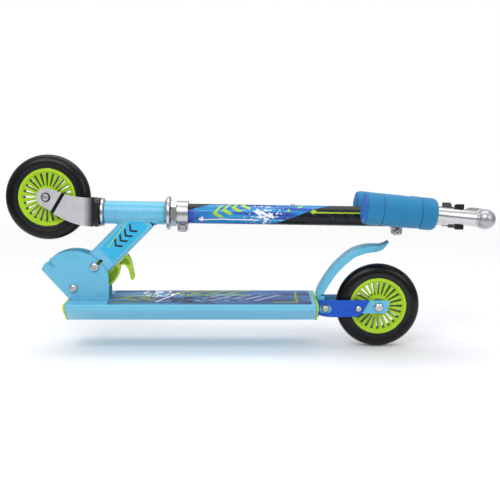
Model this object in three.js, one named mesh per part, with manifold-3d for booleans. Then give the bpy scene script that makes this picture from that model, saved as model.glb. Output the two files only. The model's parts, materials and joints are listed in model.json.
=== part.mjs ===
// A child's folding kick scooter, folded for carrying, in millimetres with +Z up.
//
// The origin lies on the ground under the middle of the folded scooter. +X points to its rear.
// The deck, the folding bracket, the rear yoke and the brake are modelled straight in that frame.
// Everything above the folding pivot is modelled as it stands in use: its column is upright,
// +Z runs up the column and -X is forward. One turned group lays it down over the deck.

import * as THREE from 'three';
import { mergeVertices } from 'three/addons/utils/BufferGeometryUtils.js';
import Module from 'manifold-3d';

// ---------------------------------------------------------------- driving dimensions

const ROUND = 20; // sides of a tube or another small round piece
const BOLT_ROUND = 12; // sides of a bolt or a pin
const FINE_ROUND = 36; // sides of a tyre
const HUB_ROUND = 24; // sides of a hub, one to each slot
const GAP = 0.3; // between two pieces that meet

// Wheels
const WHEEL_R = 60;
const TYRE_HALF_WIDTH = 12;
const HUB_R = 40.4;
const HUB_HALF_WIDTH = 11.5;
const SLOT_COUNT = 24;
const SLOT_INNER_R = 16;
const SLOT_OUTER_R = 34.5;
const BEARING_R = 11;
const BEARING_WIDTH = 7;
const AXLE_R = 4;
const AXLE_HEAD_R = 6.4;

// Deck, measured from the rear axle's X and from the ground
const REAR_AXLE_X = 187.05;
const DECK_FRONT = -443;
const DECK_REAR = -88;
const DECK_TOP = 70.4;
const DECK_BOTTOM = 43.4;
const DECK_HALF_TOP = 50;
const DECK_HALF_BOTTOM = 25;
const DECK_EDGE = 7.5; // height of the upright band along each side
const DECK_WALL = 2.5;
const CAP_THICKNESS = 2.7;
const CAP_PROUD = 0.6;
const TAPE = { front: -383, rear: -97, half: 45.5, thickness: 0.8, corner: 5 };

// Folding bracket and the latch
const PIVOT = { x: -433.5, z: 86.8 };
const BRACKET_INNER = 13.2;
const BRACKET_PLATE = 3;
const BRACKET_R = 53.5;
const FOLDED_TURN = 90.9; // of the upright assembly about the pivot, in degrees
const UNFOLD_TRAVEL = 86.4;
const STRUT_ANGLE = 44.1; // of the strut above the horizontal when the column is upright
const LATCH_R = 43.4; // from the pivot to the lock pin
const LATCH_TRAVEL = 12.8;
const LOCK_PIN_R = 2.2;
const LOCK_HEAD_R = 6.5;
const FOLD_BOLT_R = 4;

// Strut and head tube
const STRUT_HALF_HEIGHT = 19;
const STRUT_HALF_WIDTH = 12.5;
const STRUT_WALL = 2;
const STRUT_NOSE_R = 15.4;
const HEAD_AXIS_X = -107.7; // from the folding pivot
const HEAD_R = 16.25;
const HEAD_BORE_R = 14.3;
const HEAD_BOTTOM = 43.8;
const HEAD_TOP = 128.4;
const STRUT_LENGTH = 150; // from the pivot to the head tube's axis

// Steering
const REST_STEER = -4.5; // the fork and bar are a little turned, in degrees
const FRONT_AXLE = { x: -20.2, z: -36.9 };
const STEERER_R = 11;
const OUTER_TUBE_R = 14;
const OUTER_TUBE_BORE_R = 12.2;
const CROWN = { bottom: 30.5, top: 37.2, halfLength: 20, halfWidth: 22 };
const LOWER_CLAMP = { bottom: 145.4, top: 161.6 };
const UPPER_CLAMP = { bottom: 449, top: 465 };
const CLAMP_BOLT_X = 21;
const COLUMN_TOP = 460;
const BUTTON_Z = 309.3;
const BUTTON_R = 2.6;

// Inner column, T and folding handles
const INNER_TUBE_R = 11;
const INNER_TUBE_BORE_R = 9.5;
const INNER_TUBE_BOTTOM = 166;
const COLUMN_TRAVEL = 120;
const T_Z = 572.4;
const T_R = 13.75;
const KNUCKLE_Y = 40;
const KNUCKLE_R = 13.6;
const HANDLE_TILT = 4.5; // forward of the column, in degrees
const HANDLE_SPLAY = 3.5; // away from the column, in degrees
const HANDLE_TUBE_R = 11;
const HANDLE_TUBE_TOP = 15; // below the knuckle's centre
const GRIP_TOP = 70.2;
const GRIP_BOTTOM = 168;
const GRIP_R = 22.2;
const CLIP = { bottom: 530, top: 542, jawR: 17.5 };

// Rear yoke and brake
const YOKE_INNER = 15;
const YOKE_OUTER = 18;
const YOKE_COVER = 2.4;
const BRAKE_PIVOT = { x: -76.1, z: 58 };
const COVER_SCREW = { x: -29.2, z: 58.4 };
const BRAKE_BOLT_R = 3;
const BRAKE_HALF_WIDTH = 14.5;
const BRAKE_SHEET = 2;

// ---------------------------------------------------------------- materials

const finish = (color, roughness, metalness) => ({ color, roughness, metalness });
const FINISHES = {
  bluePaint: finish(0x78bee1, 0.35, 0.2),
  limePlastic: finish(0xb4e132, 0.4, 0),
  royalPlastic: finish(0x195ac8, 0.4, 0),
  tape: finish(0x4a5aa8, 0.9, 0),
  rubber: finish(0x232326, 0.7, 0),
  blackPaint: finish(0x232323, 0.35, 0.2),
  blackPlastic: finish(0x1c1c1e, 0.5, 0),
  chrome: finish(0xd8d8da, 0.15, 1),
  steel: finish(0xb5b5b8, 0.35, 1),
  foam: finish(0x3287b9, 0.85, 0),
  gripCap: finish(0x4173c8, 0.45, 0),
};

function piece(name, geometry, finishName) {
  const mesh = new THREE.Mesh(geometry, new THREE.MeshStandardMaterial(FINISHES[finishName]));
  mesh.name = name;
  return mesh;
}

// ---------------------------------------------------------------- solids

const wasm = await Module();
wasm.setup();

const radians = THREE.MathUtils.degToRad;

/** A closed geometry as a solid, without the flat triangles a lathe leaves on its axis. */
function toSolid(geometry) {
  const bare = geometry.clone();
  bare.deleteAttribute('normal');
  bare.deleteAttribute('uv');
  const merged = mergeVertices(bare, 1e-4);
  const corners = merged.index.array;
  const triangles = [];
  for (let i = 0; i < corners.length; i += 3) {
    const [a, b, c] = corners.slice(i, i + 3);
    if (a !== b && b !== c && c !== a) triangles.push(a, b, c);
  }
  const vertProperties = new Float32Array(merged.attributes.position.array);
  const triVerts = new Uint32Array(triangles);
  return new wasm.Manifold(new wasm.Mesh({ numProp: 3, vertProperties, triVerts }));
}

function toGeometry(solid) {
  const mesh = solid.getMesh();
  const geometry = new THREE.BufferGeometry();
  geometry.setAttribute('position', new THREE.BufferAttribute(mesh.vertProperties, 3));
  geometry.setIndex(new THREE.BufferAttribute(mesh.triVerts, 1));
  return geometry;
}

const cut = (body, ...tools) =>
  toGeometry(tools.reduce((solid, tool) => solid.subtract(toSolid(tool)), toSolid(body)));

const join = (body, ...others) =>
  toGeometry(others.reduce((solid, other) => solid.add(toSolid(other)), toSolid(body)));

const meet = (body, other) => toGeometry(toSolid(body).intersect(toSolid(other)));

// ---------------------------------------------------------------- shapes

const moved = (geometry, x, y, z) => geometry.translate(x, y, z);

function box(x0, x1, y0, y1, z0, z1) {
  const block = new THREE.BoxGeometry(x1 - x0, y1 - y0, z1 - z0);
  return moved(block, (x0 + x1) / 2, (y0 + y1) / 2, (z0 + z1) / 2);
}

/** A profile of [radius, height] points turned about the Y axis. */
function latheY(profile, sides = ROUND) {
  return new THREE.LatheGeometry(profile.map(([r, h]) => new THREE.Vector2(r, h)), sides);
}

const latheZ = (profile, sides = ROUND) => latheY(profile, sides).rotateX(Math.PI / 2);

const rodProfile = (r, from, to) => [[0, from], [r, from], [r, to], [0, to]];

const ringProfile = (inner, outer, from, to) =>
  [[inner, from], [outer, from], [outer, to], [inner, to], [inner, from]];

/** A rod along Y with a low domed head at each end. */
function boltY(shaftR, headR, shoulder, headHeight) {
  const crown = 0.72 * headR;
  const rim = shoulder + 0.45 * headHeight;
  return latheY([
    [0, -shoulder - headHeight], [crown, -shoulder - headHeight], [headR, -rim],
    [headR, -shoulder], [shaftR, -shoulder], [shaftR, shoulder], [headR, shoulder],
    [headR, rim], [crown, shoulder + headHeight], [0, shoulder + headHeight],
  ], BOLT_ROUND);
}

const outline = (points) => new THREE.Shape(points.map(([a, b]) => new THREE.Vector2(a, b)));

function roundedRectangle(x0, x1, y0, y1, r) {
  const shape = new THREE.Shape();
  shape.absarc(x1 - r, y0 + r, r, -Math.PI / 2, 0);
  shape.absarc(x1 - r, y1 - r, r, 0, Math.PI / 2);
  shape.absarc(x0 + r, y1 - r, r, Math.PI / 2, Math.PI);
  shape.absarc(x0 + r, y0 + r, r, Math.PI, Math.PI * 1.5);
  return shape;
}

const extruded = (shape, depth, curveSegments = 4) =>
  new THREE.ExtrudeGeometry(shape, { depth, bevelEnabled: false, curveSegments });

/** A shape drawn in X and Y, from z0 up to z1. */
const slab = (shape, z0, z1, curveSegments) =>
  moved(extruded(shape, z1 - z0, curveSegments), 0, 0, z0);

/** A shape drawn in X and Z, from y0 to y1. */
function plate(shape, y0, y1, curveSegments) {
  return moved(extruded(shape, y1 - y0, curveSegments).rotateX(Math.PI / 2), 0, y1, 0);
}

/** A shape drawn in Y and Z, from x0 to x1. */
function beam(shape, x0, x1) {
  const turn = new THREE.Matrix4().makeBasis(
    new THREE.Vector3(0, 1, 0), new THREE.Vector3(0, 0, 1), new THREE.Vector3(1, 0, 0),
  );
  return moved(extruded(shape, x1 - x0).applyMatrix4(turn), x0, 0, 0);
}

const pin = (r, y0, y1, x, z, sides = BOLT_ROUND) => moved(latheY(rodProfile(r, y0, y1), sides), x, 0, z);

/** A wire wound along Z. */
function coil(wireR, coilR, length, turns) {
  class Helix extends THREE.Curve {
    getPoint(u) {
      const angle = 2 * Math.PI * turns * u;
      return new THREE.Vector3(coilR * Math.cos(angle), coilR * Math.sin(angle), length * u);
    }
  }
  const wire = new THREE.Shape().absarc(0, 0, wireR, 0, 2 * Math.PI);
  return new THREE.ExtrudeGeometry(wire, {
    extrudePath: new Helix(), steps: turns * 8, curveSegments: 2, bevelEnabled: false,
  });
}

// ---------------------------------------------------------------- wheels

function hubGeometry() {
  const body = latheY([
    [9, -3.8], [BEARING_R + 0.1, -3.8], [BEARING_R + 0.1, -HUB_HALF_WIDTH], [14, -HUB_HALF_WIDTH],
    [15.5, -9], [SLOT_OUTER_R + 0.5, -9], [36.5, -10.8], [HUB_R, -10.8],
    [HUB_R, 10.8], [36.5, 10.8], [SLOT_OUTER_R + 0.5, 9], [15.5, 9],
    [14, HUB_HALF_WIDTH], [BEARING_R + 0.1, HUB_HALF_WIDTH], [BEARING_R + 0.1, 3.8], [9, 3.8],
    [9, -3.8],
  ], HUB_ROUND);
  const wedge = outline([
    [SLOT_INNER_R, -0.85], [SLOT_OUTER_R, -1.9], [SLOT_OUTER_R, 1.9], [SLOT_INNER_R, 0.85],
  ]);
  const slots = [];
  for (let i = 0; i < SLOT_COUNT; i += 1) {
    slots.push(plate(wedge, -HUB_HALF_WIDTH, HUB_HALF_WIDTH).rotateY((2 * Math.PI * i) / SLOT_COUNT));
  }
  return cut(body, ...slots);
}

function tyreGeometry() {
  const half = [
    [WHEEL_R, 0], [59.2, 5], [56.8, 9], [52.5, 11.6], [47.5, TYRE_HALF_WIDTH], [HUB_R + GAP, 10],
  ];
  const lower = half.slice(1).map(([r, y]) => [r, -y]).reverse();
  return latheY([...lower, ...half, lower[0]], FINE_ROUND);
}

/** The hub, tyre and two bearings of one wheel, turning about Y. */
function wheel(name) {
  const group = new THREE.Group();
  const bearing = () => latheY(ringProfile(AXLE_R + 0.2, BEARING_R, 0, BEARING_WIDTH));
  group.add(
    piece(`${name}_hub`, hubGeometry(), 'limePlastic'),
    piece(`${name}_tyre`, tyreGeometry(), 'rubber'),
    piece(`${name}_left_bearing`, moved(bearing(), 0, -HUB_HALF_WIDTH + 0.4, 0), 'steel'),
    piece(`${name}_right_bearing`, moved(bearing(), 0, HUB_HALF_WIDTH - 0.4 - BEARING_WIDTH, 0), 'steel'),
  );
  return group;
}

/** An axle with its two spacing collars, for arms whose inner and outer faces are given. */
function axleGeometry(armInner, armOuter) {
  const collar = (side) => {
    const ends = [HUB_HALF_WIDTH, armInner - GAP].map((y) => y * side).sort((a, b) => a - b);
    return latheY(rodProfile(AXLE_R + 2.4, ...ends), BOLT_ROUND);
  };
  return join(boltY(AXLE_R, AXLE_HEAD_R, armOuter + GAP, 4), collar(-1), collar(1));
}

const bearingSpacer = () => latheY(ringProfile(AXLE_R + 0.2, AXLE_R + 2, -3.5, 3.5), BOLT_ROUND);

// ---------------------------------------------------------------- deck

/** One half of the deck's outline in Y and Z, from the middle of the bottom to that of the top. */
function deckHalf(grow) {
  return [
    [DECK_HALF_BOTTOM + 0.4 * grow, DECK_BOTTOM - grow],
    [DECK_HALF_TOP - 0.8 + grow, DECK_TOP - DECK_EDGE - 1.2 - 0.4 * grow],
    [DECK_HALF_TOP + grow, DECK_TOP - DECK_EDGE],
    [DECK_HALF_TOP + grow, DECK_TOP - 1.5],
    [DECK_HALF_TOP - 1.5 + grow, DECK_TOP + grow],
  ];
}

function deckOutline(grow = 0) {
  const half = deckHalf(grow);
  return outline([...half, ...half.map(([y, z]) => [-y, z]).reverse()]);
}

/** The four hollow cells of the deck's extrusion. */
function deckCells() {
  const floor = DECK_BOTTOM + DECK_WALL;
  const roof = DECK_TOP - DECK_WALL;
  const webHalf = 1.2;
  const outerWeb = 22.2;
  const rise = (DECK_TOP - DECK_EDGE - DECK_BOTTOM) / (DECK_HALF_TOP - DECK_HALF_BOTTOM);
  const side = DECK_HALF_TOP - DECK_WALL - 0.2;
  const inner = [
    [webHalf, floor], [outerWeb - webHalf, floor], [outerWeb - webHalf, roof], [webHalf, roof],
  ];
  const outer = [
    [outerWeb + webHalf, floor], [DECK_HALF_BOTTOM, floor + 0.4],
    [side, floor + 0.6 + rise * (side - DECK_HALF_BOTTOM)], [side, roof],
    [outerWeb + webHalf, roof],
  ];
  const mirrored = (points) => points.map(([y, z]) => [-y, z]).reverse();
  return [inner, outer, mirrored(inner), mirrored(outer)].map(outline);
}

function deckPieces() {
  const front = DECK_FRONT + CAP_THICKNESS;
  const rear = DECK_REAR - CAP_THICKNESS;
  const cells = deckCells().map((cell) => beam(cell, front - 1, rear + 1));
  const tape = roundedRectangle(TAPE.front, TAPE.rear, -TAPE.half, TAPE.half, TAPE.corner);
  const tapeBottom = DECK_TOP + 0.05;
  return [
    piece('deck', cut(beam(deckOutline(), front + GAP, rear - GAP), ...cells), 'bluePaint'),
    piece('grip_tape', slab(tape, tapeBottom, tapeBottom + TAPE.thickness), 'tape'),
    piece('front_end_cap', beam(deckOutline(CAP_PROUD), DECK_FRONT, front), 'limePlastic'),
    piece('rear_end_cap', beam(deckOutline(CAP_PROUD), rear, DECK_REAR), 'limePlastic'),
  ];
}

// ---------------------------------------------------------------- folding bracket

/** The outline of one bracket plate, with the folding pivot at (0, 0). */
function bracketOutline() {
  const bottom = DECK_TOP + 0.1 - PIVOT.z;
  const rearEdge = 50;
  const arcStart = Math.atan2(35, -40.4);
  const arcEnd = Math.acos(rearEdge / BRACKET_R);
  const shape = new THREE.Shape();
  shape.moveTo(rearEdge, bottom);
  shape.lineTo(rearEdge, BRACKET_R * Math.sin(arcEnd));
  shape.absarc(0, 0, BRACKET_R, arcEnd, arcStart);
  shape.lineTo(-45.1, 27.5);
  shape.lineTo(-6.2, bottom);
  return shape;
}

function bracketPlate(y0, y1) {
  const depth = LATCH_R - LOCK_PIN_R - 0.5;
  const halfWidth = LOCK_PIN_R + 0.5;
  const foldedAngle = 180 - STRUT_ANGLE - FOLDED_TURN;
  const notches = [foldedAngle, foldedAngle + UNFOLD_TRAVEL].map((angle) =>
    box(depth, BRACKET_R + 5, y0 - 1, y1 + 1, -halfWidth, halfWidth).rotateY(-radians(angle)));
  const body = plate(bracketOutline(), y0, y1, 20);
  const pivotHole = pin(FOLD_BOLT_R + GAP, y0 - 1, y1 + 1, 0, 0);
  return moved(cut(body, pivotHole, ...notches), PIVOT.x, 0, PIVOT.z);
}

function bracketPieces() {
  const outer = BRACKET_INNER + BRACKET_PLATE;
  const bolt = moved(boltY(FOLD_BOLT_R, 5.9, outer + GAP, 3), PIVOT.x, 0, PIVOT.z);
  return [
    piece('bracket_left_plate', bracketPlate(-outer, -BRACKET_INNER), 'bluePaint'),
    piece('bracket_right_plate', bracketPlate(BRACKET_INNER, outer), 'bluePaint'),
    piece('fold_pivot_bolt', bolt, 'steel'),
  ];
}

// ---------------------------------------------------------------- rear yoke

function yokeGeometry() {
  const root = DECK_REAR + GAP;
  const arm = outline([[root, 50.6], [11.5, 50.6], [16.3, 69.4], [root, 69.4]]);
  const arms = [plate(arm, -YOKE_OUTER, -YOKE_INNER), plate(arm, YOKE_INNER, YOKE_OUTER)];
  const back = box(root, root + 3, -YOKE_OUTER, YOKE_OUTER, 46, 60);
  const holes = [
    pin(AXLE_R + 0.1, -20, 20, 0, WHEEL_R),
    pin(BRAKE_BOLT_R + GAP, -20, 20, BRAKE_PIVOT.x, BRAKE_PIVOT.z),
    pin(2.1, -20, 20, COVER_SCREW.x, COVER_SCREW.z),
  ];
  return cut(join(back, ...arms), ...holes);
}

/** One side cover, with an oblong window at the brake's pivot and a hole for its screw. */
function yokeCover(y0, y1) {
  const shape = new THREE.Shape();
  shape.moveTo(DECK_REAR + 1, 50);
  shape.quadraticCurveTo(-80, 45.8, -62, 45.8);
  shape.lineTo(-34, 46.4);
  shape.quadraticCurveTo(-26, 46.8, -23.5, 52);
  shape.lineTo(-13, 70.6);
  shape.lineTo(DECK_REAR + 1, 70.6);
  const { x, z } = BRAKE_PIVOT;
  const windowShape = roundedRectangle(x - 8.5, x + 9, z - 6.6, z + 5.6, 5.4);
  const screwHole = pin(2.1, y0 - 1, y1 + 1, COVER_SCREW.x, COVER_SCREW.z);
  return cut(plate(shape, y0, y1), plate(windowShape, y0 - 1, y1 + 1), screwHole);
}

/** A short screw that holds one cover to its arm, on the side given by -1 or 1. */
function coverScrew(side) {
  const tip = YOKE_INNER - 0.8;
  const seat = YOKE_OUTER + GAP + YOKE_COVER + 0.1;
  const profile = [[0, tip], [2, tip], [2, seat], [4.4, seat], [4.4, seat + 1.4], [2.6, seat + 2.8],
    [0, seat + 2.8]];
  const screw = latheY(profile, BOLT_ROUND);
  if (side < 0) screw.rotateX(Math.PI);
  return moved(screw, COVER_SCREW.x, 0, COVER_SCREW.z);
}

function yokePieces() {
  const coverInner = YOKE_OUTER + GAP;
  const coverOuter = coverInner + YOKE_COVER;
  const brakeBolt = moved(boltY(BRAKE_BOLT_R, 5, YOKE_OUTER + GAP, 2.6), BRAKE_PIVOT.x, 0, BRAKE_PIVOT.z);
  const spring = coil(0.6, 5.2, 2.2, 2).rotateX(Math.PI / 2);
  const springEnd = -YOKE_INNER + 3.2;
  return [
    piece('rear_yoke', yokeGeometry(), 'bluePaint'),
    piece('left_yoke_cover', yokeCover(-coverOuter, -coverInner), 'royalPlastic'),
    piece('right_yoke_cover', yokeCover(coverInner, coverOuter), 'royalPlastic'),
    piece('left_cover_screw', coverScrew(-1), 'steel'),
    piece('right_cover_screw', coverScrew(1), 'steel'),
    piece('brake_pivot_bolt', brakeBolt, 'steel'),
    piece('brake_spring', moved(spring, BRAKE_PIVOT.x, springEnd, BRAKE_PIVOT.z), 'steel'),
    piece('rear_axle', moved(axleGeometry(YOKE_INNER, YOKE_OUTER), 0, 0, WHEEL_R), 'chrome'),
    piece('rear_bearing_spacer', moved(bearingSpacer(), 0, 0, WHEEL_R), 'steel'),
  ];
}

// ---------------------------------------------------------------- brake

/** The fender brake: a bent channel that ends in a barrel on its pivot. */
function brakeGeometry() {
  const back = new THREE.SplineCurve([
    [-86.6, 66], [-88, 71.6], [-89.2, 78], [-82.3, 93], [-65.6, 117.5], [-43.4, 138],
    [-28.2, 145.2], [-13, 148.4], [0, 148.6], [7, 150.8], [12.6, 154],
  ].map(([x, z]) => new THREE.Vector2(x, z))).getPoints(28);
  const depthAt = (i) => 10.8 - 8.8 * Math.max(0, (i - 21) / 7);
  const inward = (i, depth) => {
    const before = back[Math.max(i - 1, 0)];
    const after = back[Math.min(i + 1, back.length - 1)];
    const along = after.clone().sub(before).normalize();
    return new THREE.Vector2(back[i].x + along.y * depth, back[i].y - along.x * depth);
  };
  const last = back.length - 1;
  const edge = back.map((_, i) => inward(i, depthAt(i)));
  const channel = plate(new THREE.Shape([...back, ...edge.reverse()].reverse()),
    -BRAKE_HALF_WIDTH, BRAKE_HALF_WIDTH);
  const roof = back.map((_, i) => inward(i, BRAKE_SHEET));
  const below = back.map((_, i) => inward(i, 14));
  const hollow = plate(new THREE.Shape([...roof, ...below.reverse()].reverse()),
    BRAKE_SHEET - BRAKE_HALF_WIDTH, BRAKE_HALF_WIDTH - BRAKE_SHEET);
  const tipX = back[last].x + 1;
  const plan = outline([
    [-100, -BRAKE_HALF_WIDTH - 1], [-30, -BRAKE_HALF_WIDTH - 1], [-10, -11.5], [tipX, -7],
    [tipX, 7], [-10, 11.5], [-30, BRAKE_HALF_WIDTH + 1], [-100, BRAKE_HALF_WIDTH + 1],
  ]);
  const sheet = meet(cut(channel, hollow), slab(plan, 40, 170));
  const { x, z } = BRAKE_PIVOT;
  const barrelR = 6.8;
  const tongue = plate(outline([
    [x - 6.7, z], [x + 6.6, z - 1], [x - 1.6, z + 14], [x - 2.4, z + 20], [-87.4, 78], [-86.6, 69],
  ]), -11, 11);
  return cut(join(sheet, tongue, pin(barrelR, -11, 11, x, z)), pin(BRAKE_BOLT_R + GAP, -20, 20, x, z));
}

// ---------------------------------------------------------------- strut and head tube

/** A geometry drawn along the strut: +X runs from the pivot to the head tube, +Z faces forward. */
const inStrut = (geometry) => geometry.rotateY(-radians(180 - STRUT_ANGLE));

function strutGeometry() {
  const { PI } = Math;
  const section = (halfHeight, halfWidth, r) =>
    roundedRectangle(-halfWidth, halfWidth, -halfHeight, halfHeight, r);
  const outer = beam(section(STRUT_HALF_HEIGHT, STRUT_HALF_WIDTH, 5), 1, STRUT_LENGTH - 7);
  const nose = pin(STRUT_NOSE_R, -STRUT_HALF_WIDTH, STRUT_HALF_WIDTH, 0, 0, ROUND);
  const wall = STRUT_WALL;
  const hollow = beam(section(STRUT_HALF_HEIGHT - wall, STRUT_HALF_WIDTH - wall, 3.2), 8,
    STRUT_LENGTH + 1);
  const boltHole = pin(FOLD_BOLT_R + GAP, -20, 20, 0, 0);
  const slotHalf = LOCK_PIN_R + 0.25;
  const slot = new THREE.Shape();
  slot.absarc(LATCH_R, 0, slotHalf, PI / 2, PI * 1.5);
  slot.absarc(LATCH_R + LATCH_TRAVEL, 0, slotHalf, -PI / 2, PI / 2);
  const triggerOpening = box(34.5, 76, -7.2, 7.2, -STRUT_HALF_HEIGHT - 1, -STRUT_HALF_HEIGHT + 4);
  const headTube = latheZ(rodProfile(HEAD_R + GAP, -300, 300)).translate(HEAD_AXIS_X, 0, 0);
  const upright = inStrut(cut(join(outer, nose), hollow, boltHole, plate(slot, -20, 20), triggerOpening));
  return cut(upright, headTube);
}

function neckPieces() {
  const onHead = (geometry) => moved(geometry, HEAD_AXIS_X, 0, 0);
  const bore = STEERER_R + 0.8;
  const lowerCup = [
    [bore, CROWN.top + GAP], [18, CROWN.top + GAP], [20, CROWN.top + 1.8], [20, HEAD_BOTTOM - 2],
    [17.5, HEAD_BOTTOM - GAP], [bore, HEAD_BOTTOM - GAP], [bore, CROWN.top + GAP],
  ];
  const cupBase = HEAD_TOP + GAP;
  const upperCup = [
    [bore, cupBase], [17.8, cupBase], [21.4, cupBase + 1.8], [23.9, cupBase + 4], [23.9, cupBase + 6.4],
    [22.6, cupBase + 7.6], [bore, cupBase + 7.6], [bore, cupBase],
  ];
  const bearing = (bottom) => latheZ(ringProfile(STEERER_R + GAP, HEAD_BORE_R - 0.2, bottom, bottom + 7));
  const springStart = 8.5;
  const springLength = 26.5;
  const spring = inStrut(moved(coil(0.6, 3.4, springLength, 7).rotateY(Math.PI / 2), springStart, 0, 0));
  return [
    piece('strut', strutGeometry(), 'bluePaint'),
    piece('head_tube', onHead(latheZ(ringProfile(HEAD_BORE_R, HEAD_R, HEAD_BOTTOM, HEAD_TOP))), 'bluePaint'),
    piece('lower_headset_cup', onHead(latheZ(lowerCup)), 'chrome'),
    piece('upper_headset_cup', onHead(latheZ(upperCup)), 'chrome'),
    piece('lower_headset_bearing', onHead(bearing(HEAD_BOTTOM + 1)), 'steel'),
    piece('upper_headset_bearing', onHead(bearing(HEAD_TOP - 8)), 'steel'),
    piece('latch_spring', spring, 'steel'),
  ];
}

// ---------------------------------------------------------------- latch

/**
 * The trigger in the strut's frame: a block on the lock pin inside the strut, a neck through the
 * strut's opening, a rounded lobe behind the bracket and a hooked finger pull.
 */
function triggerGeometry() {
  const skin = -STRUT_HALF_HEIGHT - 0.8;
  const shape = new THREE.Shape();
  shape.moveTo(36.6, 6.5);
  shape.lineTo(36.6, skin);
  shape.quadraticCurveTo(30.5, -24, 32.5, -31);
  shape.quadraticCurveTo(38, -36, 47, -34.5);
  shape.quadraticCurveTo(58, -33, 66, -26.2);
  shape.quadraticCurveTo(70, -23, 73, -28);
  shape.quadraticCurveTo(74.6, -32, 71.5, -38);
  shape.lineTo(64.6, -49);
  shape.quadraticCurveTo(66, -53.5, 70.5, -50);
  shape.lineTo(81.5, -34);
  shape.quadraticCurveTo(86.5, -26, 87, skin);
  shape.lineTo(61, skin);
  shape.lineTo(51, 6.5);
  const pinHole = pin(LOCK_PIN_R + 0.1, -20, 20, LATCH_R, 0);
  return inStrut(cut(plate(shape, -6.4, 6.4), pinHole));
}

/** The head of the lock pin outside one bracket plate, on the side given by -1 or 1. */
function lockHead(side) {
  const seat = BRACKET_INNER + BRACKET_PLATE + GAP;
  const profile = [[0, seat], [LOCK_HEAD_R, seat], [LOCK_HEAD_R, seat + 1.6], [4.4, seat + 3.6],
    [0, seat + 3.6]];
  const head = latheY(profile, BOLT_ROUND);
  if (side < 0) head.rotateX(Math.PI);
  return inStrut(moved(head, LATCH_R, 0, 0));
}

function latchPieces() {
  const reach = BRACKET_INNER - GAP;
  return [
    piece('lock_pin', inStrut(pin(LOCK_PIN_R, -reach, reach, LATCH_R, 0)), 'steel'),
    piece('left_lock_pin_head', lockHead(-1), 'chrome'),
    piece('right_lock_pin_head', lockHead(1), 'chrome'),
    piece('trigger', triggerGeometry(), 'limePlastic'),
  ];
}

// ---------------------------------------------------------------- fork and column

/** One fork arm: a tapered plate, stepped in towards the wheel at its lower end. */
function forkArm(side) {
  const { x, z } = FRONT_AXLE;
  const shape = new THREE.Shape();
  shape.moveTo(-20.4, CROWN.bottom - GAP);
  shape.quadraticCurveTo(-20.6, 2, -26.5, -14);
  shape.lineTo(x - 12.4, z + 4.2);
  shape.absarc(x, z, 13.1, radians(161), radians(338));
  shape.lineTo(-0.4, -29.5);
  shape.quadraticCurveTo(19.5, 0, 19.6, CROWN.bottom - GAP);
  const layer = (inner, outer) => (side < 0 ? [-outer, -inner] : [inner, outer]);
  const blank = plate(shape, ...layer(14, 22.5), 8);
  const stepStart = 16.5;
  const stepEnd = 21.5;
  const [inner, outer, sheet] = [14.9, 18.4, 3];
  const strip = outline([
    [inner, -20], [inner, stepStart], [outer, stepEnd], [outer, 120],
    [outer + sheet, 120], [outer + sheet, stepEnd - 1], [inner + sheet, stepStart - 1],
    [inner + sheet, -20],
  ].map(([y, along]) => [y * side, along]));
  const lean = radians(30);
  const stepped = moved(beam(strip, -60, 60).rotateY(lean), x, 0, z);
  return cut(meet(blank, stepped), pin(AXLE_R + 0.1, -30, 30, x, z));
}

function crownGeometry() {
  const { bottom, top, halfLength, halfWidth } = CROWN;
  const block = slab(roundedRectangle(-halfLength, halfLength, -halfWidth, halfWidth, 7), bottom, top);
  const steerer = latheZ(rodProfile(STEERER_R - 0.05, top - 2, LOWER_CLAMP.top - 3));
  const hollow = latheZ(rodProfile(STEERER_R - 2, top + 2, LOWER_CLAMP.top));
  return cut(join(block, steerer), hollow);
}

/** A split ring round the outer tube with two lugs and a bolt hole on its rear side. */
function clampGeometry(bottom, top, outerR) {
  const ring = latheZ(rodProfile(outerR, bottom, top));
  const lugs = box(OUTER_TUBE_R, CLAMP_BOLT_X + 4.8, -7.5, 7.5, bottom + 1, top - 1);
  const bore = latheZ(rodProfile(OUTER_TUBE_R + 0.2, bottom - 1, top + 1));
  const slit = box(0, CLAMP_BOLT_X + 6, -1.2, 1.2, bottom - 1, top + 1);
  return cut(join(ring, lugs), bore, slit, pin(2.7, -20, 20, CLAMP_BOLT_X, (bottom + top) / 2));
}

function upperClampGeometry() {
  const { bottom, top } = UPPER_CLAMP;
  const body = clampGeometry(bottom, top, 18);
  const lip = latheZ(ringProfile(INNER_TUBE_R + 0.4, 18, COLUMN_TOP + GAP, top));
  return join(body, lip);
}

function outerTubeGeometry() {
  const tube = latheZ(ringProfile(OUTER_TUBE_BORE_R, OUTER_TUBE_R, LOWER_CLAMP.bottom, COLUMN_TOP));
  const buttonHole = latheZ(rodProfile(BUTTON_R + 0.3, 0, 30), 16).rotateY(-Math.PI / 2);
  return cut(tube, moved(buttonHole, 0, 0, BUTTON_Z));
}

function lockNutGeometry() {
  const bottom = HEAD_TOP + 8.6;
  const hexCorner = 16 / Math.cos(Math.PI / 6);
  const hex = latheZ(rodProfile(hexCorner, bottom, LOWER_CLAMP.bottom - GAP), 6);
  return cut(hex, latheZ(rodProfile(STEERER_R + 0.1, bottom - 1, LOWER_CLAMP.bottom + 1)));
}

const clampBolt = (clamp) =>
  moved(boltY(2.5, 4.4, 7.5 + GAP, 3), CLAMP_BOLT_X, 0, (clamp.bottom + clamp.top) / 2);

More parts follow.
